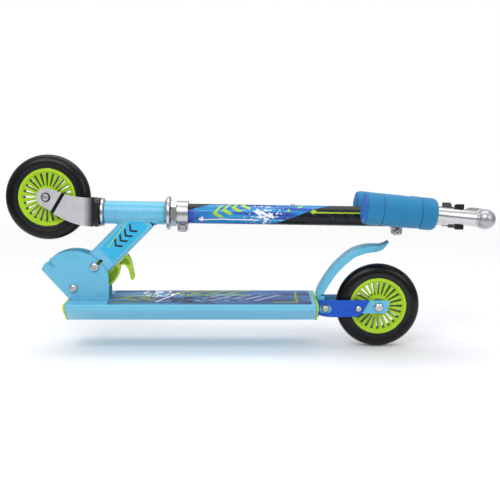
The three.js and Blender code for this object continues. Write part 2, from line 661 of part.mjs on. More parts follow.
function steeringPieces() {
  const axle = moved(axleGeometry(14.9, 17.9), FRONT_AXLE.x, 0, FRONT_AXLE.z);
  const spacer = moved(bearingSpacer(), FRONT_AXLE.x, 0, FRONT_AXLE.z);
  const lowerClamp = clampGeometry(LOWER_CLAMP.bottom, LOWER_CLAMP.top, 17.6);
  return [
    piece('fork_left_arm', forkArm(-1), 'chrome'),
    piece('fork_right_arm', forkArm(1), 'chrome'),
    piece('fork_crown', crownGeometry(), 'blackPaint'),
    piece('headset_lock_nut', lockNutGeometry(), 'chrome'),
    piece('lower_clamp', lowerClamp, 'steel'),
    piece('lower_clamp_bolt', clampBolt(LOWER_CLAMP), 'steel'),
    piece('outer_tube', outerTubeGeometry(), 'blackPaint'),
    piece('upper_clamp', upperClampGeometry(), 'steel'),
    piece('upper_clamp_bolt', clampBolt(UPPER_CLAMP), 'steel'),
    piece('front_axle', axle, 'chrome'),
    piece('front_bearing_spacer', spacer, 'steel'),
  ];
}

/** The sprung button, whose stem reaches through the outer tube into the inner tube's keyway. */
function buttonGeometry() {
  const profile = [[0, 9.8], [BUTTON_R, 9.8], [BUTTON_R, 15.4], [1.7, 16.6], [0, 16.9]];
  return moved(latheZ(profile, 16).rotateY(-Math.PI / 2), 0, 0, BUTTON_Z);
}

// ---------------------------------------------------------------- inner column and handles

function innerTubeGeometry() {
  const tube = latheZ(ringProfile(INNER_TUBE_BORE_R, INNER_TUBE_R, INNER_TUBE_BOTTOM, T_Z));
  const keyway = box(-13, -7, -BUTTON_R - 0.4, BUTTON_R + 0.4, BUTTON_Z - COLUMN_TRAVEL - 4, BUTTON_Z + 4);
  const tee = moved(latheY(rodProfile(T_R + GAP, -30, 30)), 0, 0, T_Z);
  return cut(tube, keyway, tee);
}

/** The cross tube, with a pinned tongue at each end that carries a folding handle. */
function teeGeometry() {
  const end = 30.5;
  const ring = latheY(ringProfile(11.4, T_R, -end, end));
  const tongueEnd = plate(new THREE.Shape().absarc(0, 0, 5.4, 0, 2 * Math.PI), -2.2, 2.2)
    .rotateZ(Math.PI / 2);
  const tongues = [-1, 1].flatMap((side) => {
    const span = [20, KNUCKLE_Y].map((y) => y * side).sort((a, b) => a - b);
    const plug = latheY(rodProfile(11.8, ...[20, 25].map((y) => y * side).sort((a, b) => a - b)));
    return [plug, box(-2.2, 2.2, ...span, -5.4, 5.4), tongueEnd.clone().translate(0, KNUCKLE_Y * side, 0)];
  });
  const pinHoles = [-1, 1].map((side) =>
    moved(latheZ(rodProfile(2.8, -10, 10), 16).rotateY(Math.PI / 2), 0, KNUCKLE_Y * side, 0));
  const columnHole = latheZ(rodProfile(INNER_TUBE_BORE_R, -20, 0));
  return moved(cut(join(ring, ...tongues), columnHole, ...pinHoles), 0, 0, T_Z);
}

/** Turns a geometry drawn about a knuckle, hanging along -Z, to the folded handle's direction. */
const alongHandle = (geometry, side) =>
  geometry.rotateX(radians(HANDLE_SPLAY * side)).rotateY(radians(HANDLE_TILT));

const atKnuckle = (geometry, side) =>
  moved(alongHandle(geometry, side), 0, KNUCKLE_Y * side, T_Z);

/** The clip on the inner tube, with an open jaw round each folded handle. */
function clipGeometry() {
  const { bottom, top, jawR } = CLIP;
  const mouthR = HANDLE_TUBE_R + 0.5;
  const drop = T_Z - (bottom + top) / 2;
  const jawX = -drop * Math.tan(radians(HANDLE_TILT));
  const jawY = KNUCKLE_Y + drop * Math.tan(radians(HANDLE_SPLAY));
  const disc = (x, y, r) => moved(latheZ(rodProfile(r, bottom, top)), x, y, 0);
  const bar = box(-8, 7, -jawY, jawY, bottom, top);
  const body = join(disc(0, 0, 14.6), bar, disc(jawX, -jawY, jawR), disc(jawX, jawY, jawR));
  const handles = [-1, 1].map((side) =>
    atKnuckle(latheZ(rodProfile(mouthR, -120, -HANDLE_TUBE_TOP)), side));
  const mouths = [-1, 1].map((side) =>
    box(-30, 30, ...[jawY, jawY + 20].map((y) => y * side).sort((a, b) => a - b), bottom - 1, top + 1));
  const column = latheZ(rodProfile(INNER_TUBE_R + 0.2, bottom - 1, top + 1));
  return cut(body, column, ...handles, ...mouths);
}

function knuckleGeometry(side) {
  const ball = new THREE.SphereGeometry(KNUCKLE_R, 18, 12);
  const reach = [-6.4, 16].map((y) => -y * side).sort((a, b) => a - b);
  const slot = box(-3.1, 3.1, ...reach, -6.4, 16);
  const hingePin = latheZ(rodProfile(2.3, -8, 8), 16).rotateY(Math.PI / 2);
  const spigot = latheZ(rodProfile(8.6, -34, -9));
  return atKnuckle(join(cut(join(ball, spigot), slot), hingePin), side);
}

function gripGeometry() {
  const length = GRIP_BOTTOM - GRIP_TOP;
  const bore = HANDLE_TUBE_R + 0.2;
  const at = (share, r) => [r, -GRIP_BOTTOM + share * length];
  return latheZ([
    at(0, bore), at(0, GRIP_R - 1.6), at(0.025, GRIP_R), at(0.205, GRIP_R), at(0.23, GRIP_R - 2.4),
    at(0.255, GRIP_R - 0.7), at(0.74, GRIP_R - 0.7), at(0.765, GRIP_R - 2.4), at(0.79, GRIP_R),
    at(0.955, GRIP_R), at(0.99, GRIP_R - 2.6), at(1, GRIP_R - 5.5), at(1, bore), at(0, bore),
  ]);
}

function handlePieces(name, side) {
  const tube = latheZ(ringProfile(9, HANDLE_TUBE_R, -GRIP_BOTTOM + 0.5, -HANDLE_TUBE_TOP));
  const capTop = -GRIP_BOTTOM - GAP;
  const cap = latheZ([
    [0, capTop - 4.8], [9, capTop - 4.4], [17, capTop - 3], [20.8, capTop - 1], [20.8, capTop], [0, capTop],
  ]);
  return [
    piece(`${name}_knuckle`, knuckleGeometry(side), 'blackPlastic'),
    piece(`${name}_tube`, atKnuckle(tube, side), 'chrome'),
    piece(`${name}_grip`, atKnuckle(gripGeometry(), side), 'foam'),
    piece(`${name}_grip_cap`, atKnuckle(cap, side), 'gripCap'),
  ];
}

// ---------------------------------------------------------------- assembly

const scooter = new THREE.Group();
scooter.name = 'kick_scooter';
scooter.position.x = REAR_AXLE_X;
scooter.add(...deckPieces(), ...bracketPieces(), ...yokePieces());
scooter.add(piece('brake', brakeGeometry(), 'bluePaint'));

const rearWheel = wheel('rear');
rearWheel.position.z = WHEEL_R;
scooter.add(rearWheel);

const folding = new THREE.Group();
folding.name = 'folding_frame';
folding.position.set(PIVOT.x, 0, PIVOT.z);
folding.rotation.y = radians(FOLDED_TURN);
folding.add(...neckPieces(), ...latchPieces());
scooter.add(folding);

const steering = new THREE.Group();
steering.name = 'steering_frame';
steering.position.x = HEAD_AXIS_X;
steering.rotation.z = radians(REST_STEER);
steering.add(...steeringPieces());
steering.add(piece('height_button', buttonGeometry(), 'chrome'));
steering.add(piece('inner_tube', innerTubeGeometry(), 'chrome'));
steering.add(piece('tee', teeGeometry(), 'chrome'));
steering.add(piece('handle_clip', clipGeometry(), 'blackPlastic'));
steering.add(...handlePieces('left_handle', -1), ...handlePieces('right_handle', 1));
folding.add(steering);

const frontWheel = wheel('front');
frontWheel.position.set(FRONT_AXLE.x, 0, FRONT_AXLE.z);
steering.add(frontWheel);

const whole = new THREE.Group();
whole.add(scooter);

export default whole;
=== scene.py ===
import json
import random
from math import acos, asin, atan2, cos, degrees, pi, radians, sin, sqrt, tan

import bmesh
import bpy
from mathutils import Matrix, Vector
from mathutils.geometry import tessellate_polygon


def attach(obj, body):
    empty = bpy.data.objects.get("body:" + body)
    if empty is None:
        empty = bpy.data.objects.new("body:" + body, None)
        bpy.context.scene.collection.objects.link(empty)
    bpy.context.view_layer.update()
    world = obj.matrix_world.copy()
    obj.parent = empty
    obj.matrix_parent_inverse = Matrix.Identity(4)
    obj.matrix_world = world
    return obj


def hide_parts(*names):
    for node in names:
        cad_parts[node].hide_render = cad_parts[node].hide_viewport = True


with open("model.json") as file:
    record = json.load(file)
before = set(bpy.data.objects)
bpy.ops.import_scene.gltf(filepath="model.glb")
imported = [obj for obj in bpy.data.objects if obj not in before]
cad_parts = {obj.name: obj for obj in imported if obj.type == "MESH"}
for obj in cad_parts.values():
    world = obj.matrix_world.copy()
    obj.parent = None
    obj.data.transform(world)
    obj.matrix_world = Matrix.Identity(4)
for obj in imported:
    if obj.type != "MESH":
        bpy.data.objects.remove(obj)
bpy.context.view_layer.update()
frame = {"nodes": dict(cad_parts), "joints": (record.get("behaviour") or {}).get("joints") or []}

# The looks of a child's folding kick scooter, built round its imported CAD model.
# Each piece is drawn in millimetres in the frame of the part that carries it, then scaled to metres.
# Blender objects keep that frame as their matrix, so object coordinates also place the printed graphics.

MM = 0.001
SIDES = {"left": -1, "right": 1}
SHARP = 38  # degrees between two faces from which their edge is sharp


def put(name, data):
    """A new object in the scene."""
    thing = bpy.data.objects.new(name, data)
    bpy.context.scene.collection.objects.link(thing)
    return thing


# -------- camera

CAMERA_PLACE = (0.0039, -1.2438, 0.34093)
CAMERA_PITCH = 80.8  # degrees above straight down
LENS = 63.54

camera_data = bpy.data.cameras.new("camera")
camera_data.lens = LENS
camera = put("camera", camera_data)
camera.location = CAMERA_PLACE
camera.rotation_euler = (radians(CAMERA_PITCH), 0, 0)
bpy.context.scene.camera = camera

# -------- frames

JOINTS = {joint["name"]: joint for joint in frame["joints"]}


def joint_place(name):
    return Vector(JOINTS[name]["pos_m"])


def joint_axis(name):
    return Vector(JOINTS[name]["axis"]).normalized()


def placed(origin, x, y):
    """The frame at an origin whose first two axes are given."""
    matrix = Matrix((x, y, x.cross(y))).transposed().to_4x4()
    matrix.translation = origin
    return matrix


COLUMN_UP = joint_axis("steer")
STEER_Y = joint_axis("front_wheel_spin")
STEER_X = STEER_Y.cross(COLUMN_UP)
ACROSS = Vector((0, 1, 0))
PIVOT = joint_place("fold")
HEAD = joint_place("steer")

REAR = Matrix.Translation((joint_place("rear_wheel_spin").x, 0, 0))
REAR_WHEEL = Matrix.Translation(joint_place("rear_wheel_spin"))
BRAKE_PIN = Matrix.Translation(joint_place("brake_press"))
FOLD = Matrix.Translation(PIVOT)
NECK = placed(HEAD, ACROSS.cross(COLUMN_UP), ACROSS)
STRUT = placed(PIVOT, joint_axis("latch_slide"), ACROSS)
STEER = placed(HEAD, STEER_X, STEER_Y)
FRONT_WHEEL = placed(joint_place("front_wheel_spin"), STEER_X, STEER_Y)


def handle_frame(side_name):
    """The folded handle hangs along -Z from its knuckle. Its hinge stops when it stands straight out."""
    side = SIDES[side_name]
    joint = f"{side_name}_handle_fold"
    splay = radians(90 - JOINTS[joint]["range_deg"][1])
    hinge = joint_axis(joint) * side
    outward = Matrix.Rotation(splay * side, 3, hinge) @ STEER_Y
    return placed(joint_place(joint), hinge, outward)


HANDLES = {name: handle_frame(name) for name in SIDES}

# -------- mesh tools

FINE = 96  # sides of a wheel or tube
SMALL = 40  # sides of a bolt

LEVEL = Matrix.Identity(4)  # drawn in X and Y
TO_Y = Matrix.Rotation(-pi / 2, 4, "X")  # from about Z to about Y
TO_PLATE = Matrix(((1, 0, 0, 0), (0, 0, -1, 0), (0, 1, 0, 0), (0, 0, 0, 1)))  # drawn in X and Z
TO_BEAM = Matrix(((0, 0, 1, 0), (1, 0, 0, 0), (0, 1, 0, 0), (0, 0, 0, 1)))  # drawn in Y and Z


def facing(side):
    """The turn from about Z to about Y that sends what was above to that side."""
    return TO_Y if side > 0 else TO_Y @ Matrix.Rotation(pi, 4, "X")


def span(near, far, side):
    """Two distances to one side of the middle, the lower first."""
    return sorted((near * side, far * side))


def arc(x, y, r, start, end, steps=12):
    """Points on an arc, with its angles in degrees."""
    angles = [radians(start + (end - start) * i / steps) for i in range(steps + 1)]
    return [(x + r * cos(a), y + r * sin(a)) for a in angles]


def round_hole(x, y, r):
    return arc(x, y, r, 0, 350, 35)


def curve(a, b, c, steps=8):
    """Points on the quadratic curve from a to c that b pulls at, without a itself."""
    shares = [(i + 1) / steps for i in range(steps)]
    return [tuple((1 - t) ** 2 * p + 2 * t * (1 - t) * q + t * t * r for p, q, r in zip(a, b, c))
            for t in shares]


def rounded_box(x0, x1, y0, y1, r):
    return (
        arc(x1 - r, y0 + r, r, -90, 0) + arc(x1 - r, y1 - r, r, 0, 90)
        + arc(x0 + r, y1 - r, r, 90, 180) + arc(x0 + r, y0 + r, r, 180, 270)
    )


def soften(points, radius, closed=True, steps=4):
    """The same outline with each corner rounded, by the radius or as much as its sides allow."""
    result = []
    count = len(points)
    for i, point in enumerate(points):
        here = Vector(point)
        to_last = Vector(points[i - 1]) - here
        to_next = Vector(points[(i + 1) % count]) - here
        is_end = not closed and i in (0, count - 1)
        kept = is_end or min(to_last.length, to_next.length) < 1e-6
        turn = pi if kept else to_last.angle(to_next)
        if turn > radians(172):
            result.append(tuple(here))
            continue
        reach = min(radius / tan(turn / 2), 0.45 * to_last.length, 0.45 * to_next.length)
        first = here + to_last.normalized() * reach
        last = here + to_next.normalized() * reach
        result.append(tuple(first))
        result.extend(curve(first, here, last, steps))
    return result


def inset(points, amount):
    """A closed outline that runs anticlockwise, moved inwards. One that runs clockwise grows."""
    result = []
    count = len(points)
    for i, point in enumerate(points):
        here = Vector(point)
        along = (here - Vector(points[i - 1])).normalized()
        onward = (Vector(points[(i + 1) % count]) - here).normalized()
        normal = Vector((-along.y - onward.y, along.x + onward.x))
        if normal.length < 1e-6:
            result.append(tuple(here))
            continue
        normal.normalize()
        square = max(0.5, normal.dot(Vector((-along.y, along.x))))
        result.append(tuple(here + normal * (amount / square)))
    return result


def area(points):
    return sum(a[0] * b[1] - b[0] * a[1] for a, b in zip(points, points[1:] + points[:1])) / 2


def to_mesh(bm, turn=LEVEL, sharp=SHARP):
    """Closes off a bmesh: faces outwards, smooth but for its sharp edges and the rims of flat faces."""
    bmesh.ops.recalc_face_normals(bm, faces=bm.faces[:])
    limit = radians(sharp)
    for face in bm.faces:
        face.smooth = True
    for edge in bm.edges:
        rim = len({face.tag for face in edge.link_faces}) == 2
        edge.smooth = not rim and edge.calc_face_angle(0) < limit
    bm.transform(turn)
    mesh = bpy.data.meshes.new("mesh")
    bm.to_mesh(mesh)
    bm.free()
    return mesh


def bridge(bm, low, high):
    """Faces between two rings of as many corners."""
    count = len(low)
    for i in range(count):
        j = (i + 1) % count
        bm.faces.new((low[i], low[j], high[j], high[i]))


def lathe(profile, sides=FINE, closed=False, turn=LEVEL, sharp=SHARP, edge=0.0):
    """A profile of (radius, height) points, softened, turned about Z and then turned to its place."""
    if edge:
        profile = soften(profile, edge, closed)
    bm = bmesh.new()
    rows = []
    for r, h in profile:
        if r < 1e-6:
            rows.append([bm.verts.new((0, 0, h))])
            continue
        steps = [2 * pi * i / sides for i in range(sides)]
        rows.append([bm.verts.new((r * cos(a), r * sin(a), h)) for a in steps])
    pairs = list(zip(rows, rows[1:]))
    if closed:
        pairs.append((rows[-1], rows[0]))
    for low, high in pairs:
        for i in range(sides):
            j = (i + 1) % sides
            corners = [low[i % len(low)], low[j % len(low)], high[j % len(high)], high[i % len(high)]]
            corners = list(dict.fromkeys(corners))
            if len(corners) > 2:
                bm.faces.new(corners)
    return to_mesh(bm, turn, sharp)


def flat(outline, low, high, edge=0.4, turn=TO_PLATE, holes=(), sharp=SHARP):
    """A flat shape between two heights, sharp where edge is 0. A plate's heights run along -Y."""
    loops = [outline if area(outline) > 0 else outline[::-1]]
    loops += [hole if area(hole) < 0 else hole[::-1] for hole in holes]
    levels = [(0.0, low), (0.0, high)]
    if edge:
        quarter = [(1 - sin(a), 1 - cos(a)) for a in (0, pi / 6, pi / 3, pi / 2)]
        levels = [(edge * i, low + edge * h) for i, h in quarter]
        levels += [(edge * i, high - edge * h) for i, h in reversed(quarter)]
    bm = bmesh.new()
    rings = [[[bm.verts.new((x, y, height)) for x, y in inset(loop, amount)] for loop in loops]
             for amount, height in levels]
    for below, above in zip(rings, rings[1:]):
        for lower, upper in zip(below, above):
            bridge(bm, lower, upper)
    for ends in (rings[0], rings[-1]):
        corners = [v for loop in ends for v in loop]
        for triangle in tessellate_polygon([[v.co for v in loop] for loop in ends]):
            bm.faces.new([corners[i] for i in triangle]).tag = True
    return to_mesh(bm, turn, sharp)


def sweep(points, radius_at, sides=16):
    """A round bar along a line of points, closed at both ends. radius_at gives its radius."""
    bm = bmesh.new()
    path = [Vector(p) for p in points]
    rings = []
    for i, point in enumerate(path):
        along = (path[min(i + 1, len(path) - 1)] - path[max(i - 1, 0)]).normalized()
        side = along.orthogonal() if not rings else (last_side - along * last_side.dot(along))
        side.normalize()
        last_side = side
        other = along.cross(side)
        r = radius_at(i / (len(path) - 1))
        steps = [2 * pi * k / sides for k in range(sides)]
        rings.append([bm.verts.new(point + (side * cos(a) + other * sin(a)) * r) for a in steps])
    for low, high in zip(rings, rings[1:]):
        bridge(bm, low, high)
    bm.faces.new(rings[0])
    bm.faces.new(rings[-1])
    return to_mesh(bm, sharp=60)


def carve(mesh, cutters, operation="DIFFERENCE", sharp=SHARP):
    """A mesh less the cutters, or with them joined on."""
    body = put("body", mesh)
    tools = [put("tool", cutter) for cutter in cutters]
    for tool in tools:
        modifier = body.modifiers.new("cut", "BOOLEAN")
        modifier.object = tool
        modifier.operation = operation
        modifier.solver = "EXACT"
    bpy.context.view_layer.update()
    shaped = bpy.data.meshes.new_from_object(body.evaluated_get(bpy.context.evaluated_depsgraph_get()))
    for thing in [body, *tools]:
        bpy.data.objects.remove(thing)
    bm = bmesh.new()
    bm.from_mesh(shaped)
    bmesh.ops.remove_doubles(bm, verts=bm.verts[:], dist=1e-4)
    bmesh.ops.dissolve_degenerate(bm, edges=bm.edges[:], dist=1e-4)
    loose = [v for v in bm.verts if not v.link_faces]
    bmesh.ops.delete(bm, geom=loose, context="VERTS")
    bmesh.ops.triangulate(bm, faces=[f for f in bm.faces if len(f.verts) > 4])
    return to_mesh(bm, sharp=sharp)


def merged(meshes):
    """Several meshes as one, for a piece with separate closed parts."""
    bm = bmesh.new()
    for mesh in meshes:
        bm.from_mesh(mesh)
    result = bpy.data.meshes.new("mesh")
    bm.to_mesh(result)
    bm.free()
    return result


def moved(mesh, x=0.0, y=0.0, z=0.0):
    mesh.transform(Matrix.Translation((x, y, z)))
    return mesh


def block(x0, x1, y0, y1, z0, z1):
    """A sharp box to cut with."""
    return flat([(x0, y0), (x1, y0), (x1, y1), (x0, y1)], z0, z1, 0, LEVEL)


def cylinder(r, low, high, edge=0.0, sides=FINE, turn=LEVEL):
    return lathe([(0, low), (r, low), (r, high), (0, high)], sides, turn=turn, edge=edge)


def rod_y(r, y0, y1, x=0.0, z=0.0, edge=0.3, sides=SMALL):
    return moved(cylinder(r, y0, y1, edge, sides, TO_Y), x, 0, z)


def ring(inner, outer, low, high, edge=0.5, sides=FINE, turn=LEVEL):
    profile = [(inner, low), (outer, low), (outer, high), (inner, high)]
    return lathe(profile, sides, closed=True, turn=turn, edge=edge)


def bolt_profile(shaft, head, seat, height, socket=0.0):
    """Half a bolt from its middle outwards: a shaft and a domed head, with a round socket or none."""
    top = seat + height
    profile = [(0, 0), (shaft, 0), (shaft, seat), (head, seat), (head, seat + 0.35 * height)]
    profile += [(0.86 * head, seat + 0.75 * height), (0.62 * head, top)]
    if socket:
        return profile + [(socket + 0.3, top), (socket, top - 0.3), (socket, top - 0.6 * height),
                          (0, top - 0.6 * height)]
    return profile + [(0, top + 0.05 * height)]


def bolt_y(shaft, head, seat, height, side=1, start=0.0, socket=0.0):
    """One end of a bolt that lies along Y."""
    profile = bolt_profile(shaft, head, seat, height, socket)
    profile[0], profile[1] = (0, start), (shaft, start)
    return lathe(profile, SMALL, turn=facing(side), edge=0.5)


def through_bolt(shaft, head, seat, height, socket):
    return merged([bolt_y(shaft, head, seat, height, side, 0.0, socket) for side in SIDES.values()])


# -------- material tools


class Value:
    """A node socket that arithmetic can be done on. Each sum adds one Math node."""

    def __init__(self, tree, socket):
        self.tree = tree
        self.socket = socket

    def math(self, operation, *others, clamp=False):
        node = self.tree.nodes.new("ShaderNodeMath")
        node.operation = operation
        node.use_clamp = clamp
        for slot, value in zip(node.inputs, (self, *others)):
            if isinstance(value, Value):
                self.tree.links.new(value.socket, slot)
            else:
                slot.default_value = value
        return Value(self.tree, node.outputs[0])

    def __add__(self, other):
        return self.math("ADD", other)

    def __sub__(self, other):
        return self.math("SUBTRACT", other)

    def __mul__(self, other):
        return self.math("MULTIPLY", other)

    def __neg__(self):
        return self.math("MULTIPLY", -1.0)

    def __or__(self, other):
        return self.math("MAXIMUM", other)

    def __and__(self, other):
        return self.math("MULTIPLY", other)

    def magnitude(self):
        return self.math("ABSOLUTE")

    def over(self, edge, soft=0.4):
        """1 above the edge and 0 below it, over a soft step in the value's own units."""
        if isinstance(edge, Value):
            return (self - edge).over(0.0, soft)
        return self.math("MULTIPLY_ADD", 1 / soft, 0.5 - edge / soft, clamp=True)

    def under(self, edge, soft=0.4):
        return self.over(edge, -soft)

    def between(self, low, high, soft=0.4):
        return self.over(low, soft) & self.under(high, soft)


def distance(a, b, share=1.0):
    """How far a point lies from where both values are 0, with a's square counted at that share."""
    return (a.math("POWER", 2.0) * share + b.math("POWER", 2.0)).math("SQRT")


class Finish:
    """A material whose colour, roughness and relief are built up from noise and printed layers."""

    def __init__(self, name, colour, roughness, metallic=0.0):
        self.material = bpy.data.materials.new(name)
        self.material.use_nodes = True
        self.tree = self.material.node_tree
        self.shader = self.tree.nodes["Principled BSDF"]
        self.set(Metallic=metallic)
        self.point = self.vector("MULTIPLY", self.node("TexCoord").outputs["Object"], (1 / MM,) * 3)
        split = self.node("SeparateXYZ", Vector=self.point)
        self.x, self.y, self.z = [Value(self.tree, socket) for socket in split.outputs]
        self.colour = colour
        self.roughness = roughness
        self.height = None

    def feed(self, slot, value):
        """Links a socket to a slot, or sets the slot to a number, a vector or a colour."""
        if isinstance(value, bpy.types.NodeSocket):
            self.tree.links.new(value, slot)
        else:
            slot.default_value = (*value, 1) if slot.type == "RGBA" else value

    def node(self, kind, **inputs):
        """A new shader node with its named slots fed."""
        node = self.tree.nodes.new("ShaderNode" + kind)
        for name, value in inputs.items():
            self.feed(node.inputs[name.replace("_", " ")], value)
        return node

    def vector(self, operation, a, b):
        node = self.node("VectorMath")
        node.operation = operation
        self.feed(node.inputs[0], a)
        self.feed(node.inputs[1], b)
        return node.outputs[0]

    def spread(self, stretch, seed):
        """The point that noise is read at: squeezed by the stretch, and moved off by the seed."""
        squeezed = self.vector("MULTIPLY", self.point, tuple(1 / s for s in stretch))
        return self.vector("ADD", squeezed, (seed, seed * 2, seed * 3))

    def noise(self, size, detail=3.0, stretch=(1, 1, 1), seed=0.0, roughness=0.5):
        """Noise from 0 to 1 with features of that size in millimetres."""
        node = self.node("TexNoise", Scale=1 / size, Detail=detail, Roughness=roughness,
                         Vector=self.spread(stretch, seed))
        return Value(self.tree, node.outputs[0])

    def specks(self, size, seed=0.0):
        """Distance in cells to scattered points, one to each cell of that size in millimetres."""
        node = self.node("TexVoronoi", Scale=1 / size, Vector=self.spread((1, 1, 1), seed))
        return Value(self.tree, node.outputs["Distance"])

    def mix(self, mask, colour):
        """Lays a colour over the finish where the mask is 1."""
        node = self.node("Mix")
        node.data_type = "RGBA"
        for name, value in (("Factor", mask.socket), ("A", self.colour), ("B", colour)):
            self.feed(node.inputs[name], value)
        self.colour = node.outputs["Result"]
        return self

    def mottle(self, amount, size, seed=0.0, detail=4.0):
        """Darkens and lightens the colour a little in clouds of that size."""
        clouds = self.node("MapRange", Value=self.noise(size, detail, seed=seed).socket, From_Min=0.3,
                           From_Max=0.7, To_Min=1 - amount, To_Max=1 + amount)
        scale = self.node("VectorMath")
        scale.operation = "SCALE"
        self.feed(scale.inputs[0], self.colour)
        self.feed(scale.inputs["Scale"], clouds.outputs[0])
        self.colour = scale.outputs[0]
        return self

    def uneven(self, amount, size, stretch=(1, 1, 1)):
        """Varies the roughness about its middle value."""
        wave = self.noise(size, 4.0, stretch) - 0.5
        value = wave.math("MULTIPLY_ADD", 2 * amount, self.roughness)
        self.feed(self.shader.inputs["Roughness"], value.socket)
        return self

    def relief(self, value, depth, strength=1.0):
        """Adds relief, where the value's step from 0 to 1 is that many millimetres high."""
        node = self.node("Bump", Strength=strength, Distance=depth * MM, Height=value.socket)
        if self.height is not None:
            self.feed(node.inputs["Normal"], self.height)
        self.height = node.outputs[0]
        self.feed(self.shader.inputs["Normal"], self.height)
        return self

    def grain(self, size, detail, depth, strength, stretch=(1, 1, 1)):
        """Relief from noise, all over."""
        return self.relief(self.noise(size, detail, stretch), depth, strength)

    def set(self, **values):
        """Sets the shader's own sockets, for what is the same all over."""
        for name, value in values.items():
            self.shader.inputs[name.replace("_", " ")].default_value = value
        return self

    def done(self):
        self.feed(self.shader.inputs["Base Color"], self.colour)
        return self.material


def srgb(red, green, blue):
    """A colour given as it looks, from 0 to 255, in the linear values that a shader takes."""
    shares = [c / 255 for c in (red, green, blue)]
    return tuple(c / 12.92 if c <= 0.04045 else ((c + 0.055) / 1.055) ** 2.4 for c in shares)


SKY_BLUE = srgb(102, 184, 216)
LIME = srgb(168, 208, 44)
PRINT_LIME = srgb(132, 156, 54)
ROYAL = srgb(10, 78, 188)
CYAN = srgb(34, 138, 196)
VIOLET = srgb(62, 82, 176)
WHITE = srgb(240, 240, 246)
INK = srgb(22, 24, 30)
FOAM_BLUE = srgb(34, 124, 172)


def scuffs(finish, colour, share=0.62, size=7.0, seed=0.0):
    """Fine scratches in a lighter tone, sparse and stretched along the object."""
    lines = finish.noise(0.9, 2.0, (9, 1, 1), seed).over(0.70, 0.04)
    patches = finish.noise(size, 3.0, (1, 1, 1), seed + 5).over(share, 0.05)
    return finish.mix(lines & patches, colour)


def gloss_paint(name, colour, roughness=0.27, coat=0.25):
    finish = Finish(name, colour, roughness)
    finish.mottle(0.05, 45.0, seed=3)
    scuffs(finish, tuple(min(1.0, c * 1.35 + 0.03) for c in colour), seed=11)
    finish.uneven(0.05, 12.0)
    finish.grain(1.6, 2.0, 0.02, 0.35)  # orange peel
    return finish.set(Coat_Weight=coat, Coat_Roughness=0.08, Specular_IOR_Level=0.35)


def moulded(name, colour, roughness=0.36, grain=0.03):
    finish = Finish(name, colour, roughness)
    finish.mottle(0.06, 30.0, seed=7)
    scuffs(finish, tuple(min(1.0, c * 1.25 + 0.02) for c in colour), seed=2)
    finish.uneven(0.07, 8.0)
    finish.grain(0.5, 3.0, grain, 0.4)
    return finish.set(Specular_IOR_Level=0.32)


def bare_metal(name, colour, roughness, stretch=(1, 1, 1), variation=0.06):
    finish = Finish(name, colour, roughness, 1.0)
    finish.mottle(0.05, 14.0, seed=5).uneven(variation, 3.0, stretch=stretch).grain(0.35, 2.0, 0.01, 0.3, stretch)
    return finish


satin_chrome = bare_metal("satin_chrome", (0.52, 0.52, 0.53), 0.28).done()
zinc = bare_metal("zinc", (0.66, 0.66, 0.67), 0.33).done()
LOOKS = {  # by slot, for the pieces that have no look of their own
    "steel": satin_chrome,
    "chrome": bare_metal("chrome", (0.60, 0.60, 0.61), 0.20, (12, 12, 1), 0.05).done(),
    "button_brass": bare_metal("brass", srgb(214, 190, 130), 0.28).done(),
    "blue_paint": gloss_paint("blue_paint", SKY_BLUE).done(),
    "black_paint": gloss_paint("black_paint", srgb(28, 28, 30), 0.3).done(),
    "lime_plastic": moulded("lime_plastic", LIME, 0.4).done(),
    "royal_plastic": moulded("royal_plastic", ROYAL, 0.34).done(),
    "black_plastic": moulded("black_plastic", srgb(26, 26, 29), 0.42, 0.05).done(),
    "grip_cap": moulded("cap_plastic", srgb(42, 108, 192), 0.42).done(),
}

# -------- pieces


def piece(name, mesh, at, body, slot_name, *nodes, look=None):
    """One named piece in its frame, riding on a body and standing for these CAD nodes."""
    mesh.transform(Matrix.Scale(MM, 4))
    mesh.name = name
    mesh.materials.clear()
    mesh.materials.append(look or LOOKS[slot_name])
    thing = put(name, mesh)
    thing.matrix_world = at
    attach(thing, body)
    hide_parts(*nodes)
    return thing


# -------- wheels

WHEEL_R = 60
HUB_R = 40.4
HUB_HALF = 11.5
SLOT_COUNT = 24
BEARING_R = 11
AXLE_R = 4
AXLE_HEAD_R = 6.4


def tyre_mesh():
    shoulder = 47.6
    crown = [(shoulder + 12.4 * cos(a), 11.9 * sin(a) ** 0.9)
             for a in [radians(3 + 6 * i) for i in range(15)]]
    upper = crown + [(shoulder + 0.2, 11.95), (shoulder, 11.5), (shoulder - 0.5, 11.3), (42.5, 10.9),
                     (HUB_R + 0.9, 10.7), (HUB_R + 0.3, 10.2)]
    lower = [(r, -h) for r, h in reversed(upper)]
    return lathe(lower + upper, 160, closed=True, turn=TO_Y)


def hub_mesh():
    web = 8.6
    side = [(9, 3.8), (BEARING_R + 0.1, 3.8), (BEARING_R + 0.1, HUB_HALF), (14.2, HUB_HALF),
            (15.4, web), (34.9, web), (36.2, 10.8), (HUB_R, 10.8)]
    profile = soften(side + [(r, -h) for r, h in reversed(side)], 0.6)
    body = lathe(profile, 144, closed=True, turn=TO_Y)
    wedge = soften([(16.2, -0.75), (34.3, -1.95), (34.3, 1.95), (16.2, 0.75)], 0.9)
    slots = []
    for i in range(SLOT_COUNT):
        slot = flat(wedge, -HUB_HALF, HUB_HALF, 0)
        slot.transform(Matrix.Rotation(2 * pi * i / SLOT_COUNT, 4, "Y"))
        slots.append(slot)
    return carve(body, [merged(slots)])


